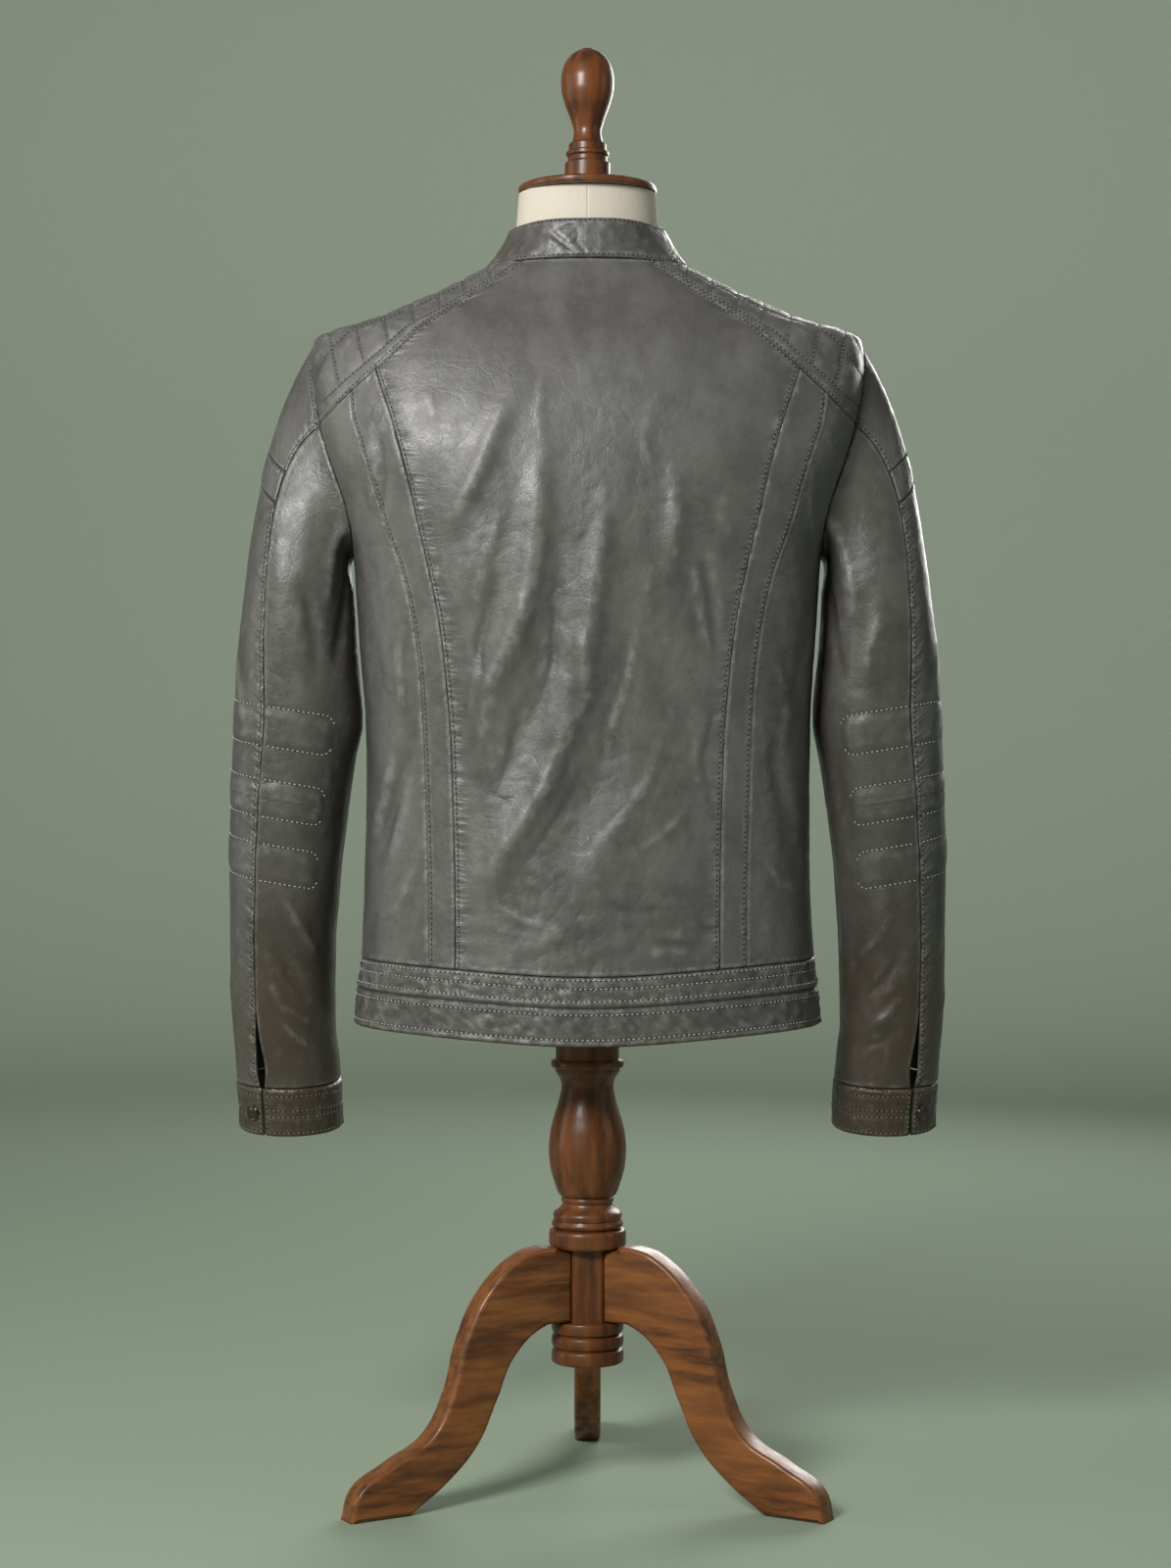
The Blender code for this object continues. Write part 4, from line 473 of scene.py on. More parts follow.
def along(points):
    """Curve through (phi, z) points, by the length measured on the body."""
    steps = np.linalg.norm(np.diff(body_bare(points[:, 0], points[:, 1]), axis=0), axis=1)
    run = np.concatenate([[0], np.cumsum(steps)]) / np.sum(steps)
    rows = {"share": run, "phi": points[:, 0], "z": points[:, 1]}
    phi, z = smooth(rows, "phi"), smooth(rows, "z")
    return lambda s: np.stack([phi(s), z(s)], -1)


yoke_back = along(np.vstack([seam_at(YOKE_BACK["x"], YOKE_BACK["z"], 1), armhole(BACK_SEAM)]))
yoke_front = along(np.vstack([seam_at(YOKE_FRONT["x"], YOKE_FRONT["z"], -1), armhole(FRONT_JOIN)]))


def share_of(curve, x):
    """Where along a yoke seam it reaches x."""
    s = np.linspace(0, 1, 801)
    q = curve(s)
    return float(np.interp(x, section(q[:, 0], q[:, 1])[:, 0], s))


SHARE_IN, SHARE_OUT = share_of(yoke_back, JOIN_IN[0]), share_of(yoke_back, JOIN_OUT[0])


# ---------------------------------------------------------------- sleeve surface
sleeve_near, sleeve_far, sleeve_mid, sleeve_deep, sleeve_power = (
    smooth(SLEEVE, k) for k in ("near", "far", "middle", "deep", "power"))
lead_out, lead_in, lead_down = (smooth(LEAD, k) for k in ("out", "inward", "down"))
vent = smooth(VENT, "open")
LEAD_PULL = 0.92         # how strongly the cap's curve follows its end directions
UNDERARM_LIFT = 0.6 * MM


def wrap(angle):
    return (np.asarray(angle, float) + 180.0) % 360.0 - 180.0


def v_level(z):
    """v of the level section at z, from 1 at TOP_RING to 2 at SLEEVE_END."""
    return (TOP_RING - z) / (TOP_RING - SLEEVE_END) + 1


def level_v(v):
    return TOP_RING - (np.maximum(v, 1) - 1) * (TOP_RING - SLEEVE_END)


def ring(angle, z):
    """Point of the left sleeve's level section; the angle runs from the outside."""
    c, s = np.cos(angle * DEG), np.sin(angle * DEG)
    half, n = (sleeve_far(z) - sleeve_near(z)) / 2, sleeve_power(z)
    r = ((np.abs(c) / half) ** n + (np.abs(s) / sleeve_deep(z)) ** n) ** (-1.0 / n)
    tilt = CUFF_TILT * ease(0.47, 0.34, z) * s
    middle = (sleeve_far(z) + sleeve_near(z)) / 2
    return np.stack([middle + r * c, sleeve_mid(z) + r * s, z - tilt + 0 * angle], -1)


def sleeve_bare(angle, v):
    """Left sleeve: v from 0 at the armhole to 1 at TOP_RING, and on down by v_level."""
    angle, v = np.broadcast_arrays(np.asarray(angle, float), np.asarray(v, float))
    turn = wrap(angle)
    w, side = np.abs(turn), np.sign(turn)
    q = armhole(turn)
    start = section(q[..., 0], q[..., 1])
    start = start + np.array([0, 0, UNDERARM_LIFT]) * ease(120, 165, w)[..., None]
    lead = unit(np.stack([lead_out(w), -side * lead_in(w), -lead_down(w)], -1))
    end = ring(angle, TOP_RING + 0 * angle)
    follow = unit(ring(angle, TOP_RING - 0.01 + 0 * angle) - end)
    far = np.linalg.norm(end - start, axis=-1, keepdims=True) * LEAD_PULL
    t = np.clip(v, 0, 1)[..., None]
    cap = ((2 * t**3 - 3 * t**2 + 1) * start + (t**3 - 2 * t**2 + t) * far * lead
           + (3 * t**2 - 2 * t**3) * end + (t**3 - t**2) * far * follow)
    return np.where(v[..., None] <= 1, cap, ring(angle, level_v(v)))


def sleeve_normal_of(surface, angle, v, turn, step):
    a = surface(angle + turn, v) - surface(angle - turn, v)
    b = surface(angle, v + step) - surface(angle, np.maximum(v - step, 0.0))
    return unit(np.cross(b, a))


def sleeve(angle, v):
    """Outer face of the left sleeve, with its folds."""
    p = sleeve_bare(angle, v)
    n = sleeve_normal_of(sleeve_bare, angle, v, 0.1, 1e-3)
    f = SLEEVE_FOLDS
    ends = np.stack([f["angle0"] * ARC_LENGTH, f["z0"], f["angle1"] * ARC_LENGTH, f["z1"]], -1)
    run = np.asarray(angle, float) % 360.0 * ARC_LENGTH
    high = fold_height(run, p[..., 2], ends, f["width"], f["height"])
    high = high * ease(0.355, 0.375, p[..., 2]) * ease(0.0, 0.12, v)
    return p + n * high[..., None]


def on_sleeve(angle, v):
    return sleeve(angle, v), sleeve_normal_of(sleeve, angle, v, 0.2, 2e-3)


def v_at(angle, z):
    """v where the sleeve comes down to z, found by halving."""
    low, high = np.zeros(np.shape(angle)), np.full(np.shape(angle), 2.0)
    for _ in range(40):
        mid = (low + high) / 2
        above = sleeve_bare(angle, mid)[..., 2] > z
        low, high = np.where(above, mid, low), np.where(above, high, mid)
    return (low + high) / 2


def band_top(angle):
    """z of the upper seam of the band round the upper arm."""
    return 0.8820 - 0.0240 * (np.abs(wrap(angle)) / BACK_SEAM) ** 2


def inset_edges(points, normals):
    """Draw the four edges of a grid in by half the seams' gap, square to each edge."""
    drawn = points.copy()
    every = slice(None)
    for near, far in ((0, 1), (-1, -2)):
        for edge, inner in (((near, every), (far, every)), ((every, near), (every, far))):
            square = unit(np.cross(normals[edge], unit(np.gradient(points[edge], axis=0))))
            inward = np.sum(square * (points[inner] - points[edge]), axis=-1, keepdims=True)
            drawn[edge] += square * np.sign(inward) * SEAM_GAP / 2
    return drawn


# ---------------------------------------------------------------- seams in (phi, z)
def patch(bottom, top, left, right, s, t, lift=1.0):
    """Grid of (phi, z) between four edges; a higher lift keeps the top's bend near the top."""
    S, T = (q[..., None] for q in np.meshgrid(s, t))
    low = bottom[None] - (1 - S) * bottom[0] - S * bottom[-1]
    high = top[None] - (1 - S) * top[0] - S * top[-1]
    return (1 - S) * left[:, None] + S * right[:, None] + (1 - T) * low + T**lift * high


def straight(a, b, s):
    return a + (b - a) * s[:, None]


def princess_seam(x, join_z, t):
    z = BAND_TOP + (join_z - BAND_TOP) * t
    return seam_at(x(z), z, 1)


def side_and_armhole(under, t):
    """The side seam and then the armhole, row by row as the solid's rows run."""
    last = SEAM_ROWS - 1 + len(under) - 1
    row = t * last
    z = BAND_TOP + (UNDERARM - BAND_TOP) * np.clip(row / (SEAM_ROWS - 1), 0, 1)
    arm = armhole(np.interp(row - (SEAM_ROWS - 1), np.arange(len(under)), under))
    seam = np.stack([np.full(len(t), 90 * DEG), z], -1)
    return np.where((row <= SEAM_ROWS - 1)[:, None], seam, arm)


def collar_point(phi, share):
    """Stand collar: share from 0 at the neck seam to 1 at the top edge."""
    angle = np.abs(phi) / DEG
    p = section(phi, neck_z(angle))
    tall = COLLAR_TALL + COLLAR_FRONT_TALL * ease(120, 180, angle)
    lean = COLLAR_LEAN + COLLAR_SIDE_LEAN * ease(20, 75, angle) * ease(125, 95, angle)
    out = unit(p * np.array([1, 1, 0]))
    q = p - out * (lean * share * (1.35 - 0.35 * share))[..., None]
    q[..., 2] = p[..., 2] + tall * share + 0.3 * MM
    return q


# ---------------------------------------------------------------- random but repeatable
def noise(x, y, seed):
    """Smooth waves from about -1 to 1, near one to a unit each way."""
    i, j = np.floor(x), np.floor(y)
    total = np.zeros(np.broadcast(x, y).shape)
    for di in (0, 1):
        for dj in (0, 1):
            key = np.sin((i + di) * 127.1 + (j + dj) * 311.7 + seed * 74.7) * 43758.5453
            turn = 2 * math.pi * (key - np.floor(key))
            dx, dy = x - i - di, y - j - dj
            fade = (1 - 3 * dx**2 + 2 * np.abs(dx)**3) * (1 - 3 * dy**2 + 2 * np.abs(dy)**3)
            total = total + fade * (dx * np.cos(turn) + dy * np.sin(turn))
    return 1.7 * total


def crinkle(x, y, seed, size):
    """Fine creases of soft leather: thin lines that wander, fork and fade."""
    u, v = x / size, y / size
    bend = 0.5 * noise(u * 0.6, v * 0.6, seed + 3)
    lines = np.exp(-(noise(u + bend, v - bend, seed) / 0.10) ** 2)
    return lines * ease(-0.15, 0.35, noise(u * 0.45, v * 0.45, seed + 7))


def hide(x, y, seed, soft=1.0, fine=1.0):
    """Height of leather that has been worn: soft waves, small waves and creases."""
    return (0.90 * MM * soft * noise(x / 0.042, y / 0.085, seed)
            + 0.26 * MM * soft * noise(x / 0.017, y / 0.034, seed + 1)
            + 0.15 * MM * fine * noise(x / 0.0075, y / 0.0105, seed + 2)
            - 0.26 * MM * fine * crinkle(x, y, seed + 11, 0.026)
            - 0.20 * MM * fine * crinkle(x, y, seed + 23, 0.012))


def blurred(high, reach):
    """Mean over a square of points around each point."""
    wide = 2 * reach + 1
    total = np.pad(np.pad(high, reach, mode="edge").cumsum(0).cumsum(1), ((1, 0), (1, 0)))
    return (total[wide:, wide:] - total[:-wide, wide:] - total[wide:, :-wide]
            + total[:-wide, :-wide]) / wide**2


# ---------------------------------------------------------------- sewn pieces
def steps(length, middle=2.6, edge=0.9, margin=9.0):
    """Shares from 0 to 1 along a length in millimetres, close together near both ends."""
    length, middle, edge, margin = (q * MM for q in (length, middle, edge, margin))
    places, step = [0.0], edge
    while places[-1] < length / 2:
        step = edge if places[-1] < margin else min(middle, step * 1.3)
        places.append(places[-1] + step)
    half = np.array(places) / places[-1] / 2
    return np.concatenate([half, 1 - half[-2::-1]])


def grid_normals(points, outward=-1):
    """Normals of a grid; outward is 1 on a mirrored one."""
    ahead, up = np.gradient(points, axis=1), np.gradient(points, axis=0)
    return unit(np.cross(ahead, up)) * outward


def ridges(p, q, paths, scale=MM):
    """Sum of creases that follow paths, narrow at the crest and fading at both ends."""
    total = np.zeros(np.broadcast(p, q).shape)
    for width, height, *points in paths:
        points = np.array(points, float) * (scale, MM)
        spans = np.linalg.norm(np.diff(points, axis=0), axis=1)
        ends = np.concatenate([[0], np.cumsum(spans)]) / np.sum(spans)
        nearest, share = np.full(total.shape, np.inf), np.zeros(total.shape)
        for a, b, low, high in zip(points, points[1:], ends, ends[1:]):
            d = b - a
            t = np.clip(((p - a[0]) * d[0] + (q - a[1]) * d[1]) / (d @ d), 0, 1)
            away = np.hypot(p - a[0] - t * d[0], q - a[1] - t * d[1])
            share = np.where(away < nearest, low + (high - low) * t, share)
            nearest = np.minimum(nearest, away)
        fade = np.maximum(np.sin(math.pi * share), 0) ** 0.7
        total = total + height * MM * fade * np.exp(-(nearest / (width * MM)) ** 1.8)
    return total


class Piece:
    """Fine grid of one sewn piece, with the distances over it and its sewing."""

    def __init__(self, node, points):
        self.node, self.outward = node, -1
        self.normals = grid_normals(points)
        self.base = inset_edges(points, self.normals)
        rows, columns = points.shape[:2]
        run = [np.linalg.norm(np.diff(points, axis=k), axis=-1) for k in (0, 1)]
        self.up = np.concatenate([np.zeros((1, columns)), np.cumsum(run[0], axis=0)], axis=0)
        self.across = np.concatenate([np.zeros((rows, 1)), np.cumsum(run[1], axis=1)], axis=1)
        self.high = np.zeros((rows, columns))
        self.shade_wear_highlight = np.zeros((rows, columns, 4))  # painted shade, brown edges, painted highlight, unused
        self.sewing = np.zeros((rows, columns, 4))  # run, distance and pull of the nearest seam
        self.nearest = np.full((rows, columns), np.inf)
        self.lines = []

    def edge(self, side):
        """Distance from an edge, and the run along it."""
        if side == "left":
            return self.across, self.up
        if side == "right":
            return self.across[:, -1:] - self.across, self.up
        if side == "bottom":
            return self.up, self.across
        return self.up[-1:] - self.up, self.across

    def paint_shade(self, share):
        # Painted shade: darkens the leather where grooves, seams and hollows would be shaded.
        self.shade_wear_highlight[..., 0] = np.maximum(self.shade_wear_highlight[..., 0], share)

    def row_beside(self, side, distance):
        """Path in (row, column) that keeps a distance from an edge."""
        away = self.edge(side)[0]
        rows, columns = away.shape
        order = slice(None, None, -1) if side in ("right", "top") else slice(None)
        if side in ("left", "right"):
            place = [np.interp(distance, away[i][order], np.arange(columns)[order]) for i in range(rows)]
            return np.arange(rows, dtype=float), np.array(place)
        place = [np.interp(distance, away[:, j][order], np.arange(rows)[order]) for j in range(columns)]
        return np.array(place), np.arange(columns, dtype=float)

    def sew(self, side, seed, rows=(), roll=0.8, pucker=0.22, reach=6, edge_highlight=0.5, dark=0.9, thread="grey"):
        """Turn an edge down into its seam, with stitched rows and puckers, a painted shade along the seam and
        a painted highlight beside it, sizes in mm.
        """
        away, run = self.edge(side)
        roll, pucker, reach = roll * MM, pucker * MM, reach * MM
        rows = [q * MM for q in rows]
        self.high -= roll * np.exp(-(away / (1.0 * MM)) ** 1.5)
        self.high += 0.25 * MM * bell(away - 2.4 * MM, 1.6 * MM)
        pull = bell(away, reach) * ease(0, 1.2 * MM, away)
        for distance in rows[1:]:
            pull = np.maximum(pull, 1.3 * bell(away - distance, 4.0 * MM))
        pull = pull * pucker
        self.high += 1.2 * pull * (noise(run / (6.5 * MM), away / (14 * MM), seed)
                                   + 0.6 * noise(run / (11 * MM), away / (18 * MM), seed + 1))
        closer = away < self.nearest
        self.nearest = np.minimum(self.nearest, away)
        for k, value in enumerate((10 * (run + seed * 0.013), 10 * away, pull / MM)):
            self.sewing[..., k] = np.where(closer, value, self.sewing[..., k])
        # Painted shade down the seam, as strong as dark.
        self.paint_shade(dark * bell(away, 0.65 * MM))
        # Painted highlight on the rolled edge beside the seam.
        self.shade_wear_highlight[..., 2] += edge_highlight * bell(away - 1.6 * MM, 0.9 * MM)
        for distance in rows:
            self.stitch_line(np.abs(away - distance), run, self.row_beside(side, distance), thread=thread)

    def stitch_line(self, away, run, path, deep=0.40 * MM, width=1.5 * MM, thread="grey"):
        """Sink a line of stitches, with a painted shade in its groove and a painted highlight beside it, and
        note its path.
        """
        tug = 0.8 + 0.2 * np.cos(2 * math.pi * run / STITCH_PITCH)
        self.high -= deep * tug * bell(away, width)
        # Painted shade in the stitches' groove.
        self.paint_shade(0.45 * bell(away, 0.8 * MM))
        # Painted highlight beside the groove.
        self.shade_wear_highlight[..., 2] += 0.5 * bell(away - 2.2 * MM, 0.8 * MM)
        self.lines.append((*path, thread))

    def finish(self, mirror):
        # Crests get a painted highlight and hollows a painted shade.
        proud = self.high - blurred(self.high, 4)
        self.shade_wear_highlight[..., 2] += 0.9 * np.clip(proud / (0.35 * MM) - 0.15, 0, 1)
        self.paint_shade(0.35 * np.clip(-proud / (0.40 * MM) - 0.1, 0, 1))
        self.points = self.base + self.normals * self.high[..., None]
        if mirror:
            self.points, self.base, self.normals = (
                q * np.array([-1, 1, 1]) for q in (self.points, self.base, self.normals))
            self.outward = 1
        self.faced = grid_normals(self.points, self.outward)

    def at(self, rows, columns):
        """Points and normals at fractional places of the grid."""
        i = np.clip(rows.astype(int), 0, self.points.shape[0] - 2)
        j = np.clip(columns.astype(int), 0, self.points.shape[1] - 2)
        u, v = (rows - i)[:, None], (columns - j)[:, None]

        def mix(q):
            return ((1 - u) * ((1 - v) * q[i, j] + v * q[i, j + 1])
                    + u * ((1 - v) * q[i + 1, j] + v * q[i + 1, j + 1]))
        return mix(self.points), unit(mix(self.faced))


def coarse(count, step=4):
    return sorted(set(range(0, count, step)) | {count - 1})


def shell_mesh(piece, thick):
    """Closed thin shell: the fine outer grid over a coarser, plain inner one."""
    rows, columns = piece.points.shape[:2]
    keep_i, keep_j = coarse(rows), coarse(columns)
    inner = (piece.base - piece.normals * thick)[np.ix_(keep_i, keep_j)]
    first = rows * columns
    wide = len(keep_j)

    def out(i, j):
        return i * columns + j

    def ins(i, j):
        return first + i * wide + j

    faces = []
    for i in range(rows - 1):
        a = i * columns
        b = a + columns
        faces.extend((a + j, a + j + 1, b + j + 1, b + j) for j in range(columns - 1))
    tall = len(keep_i)
    for i in range(tall - 1):
        faces.extend((ins(i, j), ins(i + 1, j), ins(i + 1, j + 1), ins(i, j + 1)) for j in range(wide - 1))
    for j, (c0, c1) in enumerate(zip(keep_j, keep_j[1:])):
        faces.append([out(0, c) for c in range(c1, c0 - 1, -1)] + [ins(0, j), ins(0, j + 1)])
        faces.append([out(rows - 1, c) for c in range(c0, c1 + 1)] + [ins(tall - 1, j + 1), ins(tall - 1, j)])
    for i, (r0, r1) in enumerate(zip(keep_i, keep_i[1:])):
        faces.append([out(r, 0) for r in range(r0, r1 + 1)] + [ins(i + 1, 0), ins(i, 0)])
        faces.append([out(r, columns - 1) for r in range(r1, r0 - 1, -1)]
                     + [ins(i, wide - 1), ins(i + 1, wide - 1)])
    if piece.outward < 0:
        faces = [tuple(reversed(face)) for face in faces]
    verts = np.concatenate([piece.points.reshape(-1, 3), inner.reshape(-1, 3)]) + (0, CENTRE_Y, 0)
    mesh = mesh_of(piece.node, verts.tolist(), faces)
    shade_wear_highlight = np.zeros((len(verts), 4), np.float32)
    shade_wear_highlight[:first] = np.clip(piece.shade_wear_highlight.reshape(-1, 4), 0, 1)
    shade_wear_highlight[first:, 0] = 0.35
    mesh.attributes.new("shade_wear_highlight", "FLOAT_COLOR", "POINT").data.foreach_set("color", shade_wear_highlight.ravel())
    sewing = np.zeros((len(verts), 4), np.float32)
    sewing[:first] = piece.sewing.reshape(-1, 4)
    mesh.attributes.new("sewing", "FLOAT_COLOR", "POINT").data.foreach_set("color", sewing.ravel())
    mesh.shade_smooth()
    mesh.set_sharp_from_angle(angle=60 * DEG)
    return mesh


THREADS = {"grey": [], "light": []}
HOLE_SHADES = []


def add_stitches(piece):
    """Thread of every stitched row of a piece: centres, directions and normals."""
    for rows, columns, thread in piece.lines:
        points, normals = piece.at(np.asarray(rows, float), np.asarray(columns, float))
        run = np.concatenate([[0], np.cumsum(np.linalg.norm(np.diff(points, axis=0), axis=1))])
        if run[-1] < 3 * STITCH_PITCH:
            continue
        places = np.arange(STITCH_PITCH, run[-1] - STITCH_PITCH / 2, STITCH_PITCH)
        spot = np.stack([np.interp(places, run, points[:, k]) for k in range(3)], -1)
        ahead = np.stack([np.interp(places + 0.5 * MM, run, points[:, k]) for k in range(3)], -1) - spot
        out = unit(np.stack([np.interp(places, run, normals[:, k]) for k in range(3)], -1))
        THREADS[thread].append((spot, unit(ahead), out))
        # Painted shade of a needle hole midway between two stitches.
        gaps = places + STITCH_PITCH / 2
        spot = np.stack([np.interp(gaps, run, points[:, k]) for k in range(3)], -1)
        HOLE_SHADES.append((spot, unit(ahead), out))


def place_piece(piece, material, thick, mirror=False):
    """The finished piece, riding on its body in place of its solid."""
    piece.finish(mirror)
    mesh = shell_mesh(piece, thick)
    mesh.materials.append(material)
    made = linked("hide_" + piece.node, mesh)
    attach(made, "jacket_on_form")
    name = piece.node.removesuffix("_left").removesuffix("_right")
    if name != "cuff_underlap":
        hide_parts(piece.node)
    add_stitches(piece)


def both(build, material, thick=WALL):
    """The left piece and the right one, whose small creases differ."""
    for mirror, side in ((False, "_left"), (True, "_right")):
        place_piece(build(side, 40.0 if mirror else 0.0), material, thick, mirror=mirror)


def panel(name, *cut):
    """Piece of the body between four edges, with its x and z."""
    points = body(*np.moveaxis(patch(*cut), -1, 0))
    return Piece(name, points), points[..., 0], points[..., 2]


# ---------------------------------------------------------------- the jacket's body
def back_centre():
    s = steps(280)
    t = steps(580, 2.0)
    z = BAND_TOP + (1.0345 - BAND_TOP) * t
    share = np.linspace(0, 1, 400)
    over = np.interp(z, yoke_back(share)[::-1, 1], share[::-1])
    right = np.where((z <= JOIN_IN[1])[:, None], seam_at(x_inner(z), z, 1), yoke_back(over))
    left = right * np.array([-1, 1])
    bottom, top = straight(left[0], right[0], s), straight(left[-1], right[-1], s)
    top[:, 1] = neck_z(np.abs(top[:, 0]) / DEG)
    piece, x, z = panel("back_centre", bottom, top, left, right, s, t)
    piece.high += ridges(x, z, BACK_CREASES)
    inner = ease(0, 0.03, np.minimum(piece.edge("left")[0], piece.edge("right")[0]))
    calm = 0.45 + 0.55 * ease(0.90, 0.80, z)
    piece.high += hide(x, z, 5.0, 1.0, 1.0) * calm * (0.35 + 0.65 * inner)
    # Crumpled lower back.
    piece.high += 0.5 * MM * noise(x / 0.030, z / 0.013, 31) * ease(0.56, 0.47, z)
    for side, seed in (("left", 71), ("right", 73)):
        piece.sew(side, seed, rows=(3.0,), roll=0.6, pucker=0.65, reach=9, dark=0.7)
    piece.sew("bottom", 75, pucker=0.35, reach=5)
    piece.sew("top", 76, pucker=0.15)
    place_piece(piece, LEATHER_BACK, WALL)


def back_strip(side, seed):
    s, t = steps(22), steps(500, 1.7)
    left, right = princess_seam(x_inner, JOIN_IN[1], t), princess_seam(x_outer, JOIN_OUT[1], t)
    top = yoke_back(SHARE_IN + (SHARE_OUT - SHARE_IN) * s)
    bottom = straight(left[0], right[0], s)
    piece, x, z = panel("back_strip" + side, bottom, top, left, right, s, t)
    piece.high += hide(x, z, 9.0 + seed, 0.3, 0.8) + ridges(x, z, SIDE_CREASES[side])
    piece.sew("left", seed + 81, roll=0.5, pucker=0.20, edge_highlight=0.9, dark=0.6)
    piece.sew("right", rows=(2.6,), roll=0.35, pucker=0.40, reach=5,
              seed=seed + 82, edge_highlight=0.3, dark=0.3)
    piece.sew("bottom", seed + 83, pucker=0.2)
    piece.sew("top", seed + 84)
    return piece


def back_side(side, seed):
    s, t = steps(85), steps(500, 1.8)
    left, right = princess_seam(x_outer, JOIN_OUT[1], t), side_and_armhole(UNDER_BACK, t)
    top = yoke_back(SHARE_OUT + (1 - SHARE_OUT) * s)
    bottom = straight(left[0], right[0], s)
    piece, x, z = panel("back_side" + side, bottom, top, left, right, s, t)
    calm = ease(0, 0.015, np.minimum(piece.edge("left")[0], piece.edge("right")[0]))
    piece.high += ridges(x, z, SIDE_CREASES[side])
    piece.high += hide(x, z, 13.0 + seed, 0.9, 1.0) * (0.4 + 0.6 * calm)
    # Painted shade: darker towards the side seam below the armhole, where the panel turns from the light.
    piece.shade_wear_highlight[..., 0] = 0.30 * ease(0.012, 0.075, piece.across) * ease(0.86, 0.72, z)
    piece.sew("left", seed + 91, roll=0.35, pucker=0.25, edge_highlight=0.5, dark=0.3)
    piece.sew("right", seed + 92, pucker=0.2)
    piece.sew("bottom", seed + 93, pucker=0.3)
    piece.sew("top", seed + 94)
    return piece


def front(side, seed):
    s, t = steps(200), steps(530, 2.3)
    left = side_and_armhole(UNDER_FRONT, t)
    z = BAND_TOP + (NECK["z"][-1] - BAND_TOP) * t
    right = seam_at(np.full(len(z), ZIP_HALF - SEAM_GAP / 2), z, -1)
    part = s / OVER_SHOULDER
    corner = yoke_front(0.0)
    neck_phi = corner[0] + (right[-1, 0] - corner[0]) * np.clip(part - 1, 0, 1)
    neck = np.stack([neck_phi, neck_z(neck_phi / DEG)], -1)
    top = np.where((part <= 1)[:, None], yoke_front(np.clip(1.0 - part, 0, 1)), neck)
    top[-1] = right[-1]
    half = section(left[0, 0], np.array(BAND_TOP))[0]
    bottom = seam_at(half * (1 - s) + ZIP_HALF * s, BAND_TOP, -1)
    bottom[0], bottom[-1] = left[0], right[0]
    piece, x, z = panel("front" + side, bottom, top, left, right, s, t, 2.5)
    calm = ease(0, 0.02, np.minimum(piece.edge("left")[0], piece.edge("right")[0]))
    piece.high += ridges(x, z, FRONT_CREASES[side])
    piece.high += hide(x, z, 17.0 + seed, 0.9, 1.0) * (0.25 + 0.75 * calm)
    piece.sew("left", seed + 101, pucker=0.2)
    piece.sew("right", seed + 102, rows=(5.5,), roll=0.5, pucker=0.2, reach=8)
    piece.sew("bottom", seed + 103, pucker=0.3)
    piece.sew("top", seed + 104, rows=(2.3,), pucker=0.2)
    return piece


def shoulder_yoke(side, seed):
    """Quilted shoulder: padded cells between stitched lines, and a stitched border."""
    s, t = steps(235, 1.5), steps(125, 1.5)
    bottom, right = yoke_back(s), armhole(BACK_SEAM + (FRONT_JOIN - BACK_SEAM) * t)
    top = yoke_front(s)
    phi = bottom[0, 0] + (top[0, 0] - bottom[0, 0]) * t
    left = np.stack([phi, neck_z(phi / DEG)], -1)
    left[0], left[-1] = bottom[0], top[0]
    piece, x, z = panel("shoulder_yoke" + side, bottom, top, left, right, s, t)
    S, T = np.meshgrid(s, t)
    piece.high += hide(piece.across, piece.up, 21.0 + seed, 0.3, 1.2)
    # The quilting starts at a row that draws away from the seam towards the armhole.
    first = (4.5 * MM + 8.0 * MM * S[:1]) / piece.up[-1:]
    pitch = QUILT_PITCH / 2
    down = np.where(T < QUILT_EDGE + pitch,
                    (T - first) / (QUILT_EDGE + pitch - first), (T - QUILT_EDGE) / pitch)
    # Its cross lines run up over the shoulder, leaning a little outwards.
    cell = (x - QUILT_LEAN * (z - np.interp(x, YOKE_BACK["x"], YOKE_BACK["z"])) - QUILT_START) / QUILT_CELL
    pillow = (np.abs(np.sin(math.pi * cell)) * np.abs(np.sin(math.pi * down))) ** 0.6
    piece.high += 0.9 * QUILT_HIGH * pillow * (down > 0)
    tucks = noise(piece.across / (6.0 * MM), piece.up / (9 * MM), seed + 117)
    piece.high += 0.25 * MM * tucks * (1 - pillow)
    columns, rows = np.arange(len(s), dtype=float), np.arange(len(t), dtype=float)
    for k in range(1, 8):
        at = np.array([np.interp(k, cell[i], columns) for i in range(len(t))])
        start = np.interp(np.interp(at, columns, first[0]), t, rows)
        inside = (rows > start) & (at > 1) & (at < len(s) - 2) & (rows < len(t) - 1)
        away = np.abs(cell - k) * QUILT_CELL + np.where(down < 0, 1.0, 0.0)
        piece.stitch_line(away, piece.up, (rows[inside], at[inside]), 0.40 * MM)
    for k in range(9):
        share = first[0] if k == 0 else QUILT_EDGE + k * pitch + 0 * first[0]
        at = np.interp(share, t, rows)
        level = np.array([np.interp(r, rows, piece.up[:, j]) for j, r in enumerate(at)])
        piece.stitch_line(np.abs(piece.up - level), piece.across, (at, columns), 0.30 * MM)
    piece.shade_wear_highlight[..., 1] = 0.55 * ease(0.35, 0.8, T)
    piece.sew("bottom", seed + 111, rows=(2.2,), pucker=0.25)
    piece.sew("top", seed + 112, pucker=0.2)
    piece.sew("left", seed + 113, pucker=0.15)
    piece.sew("right", seed + 114, pucker=0.25)
    return piece


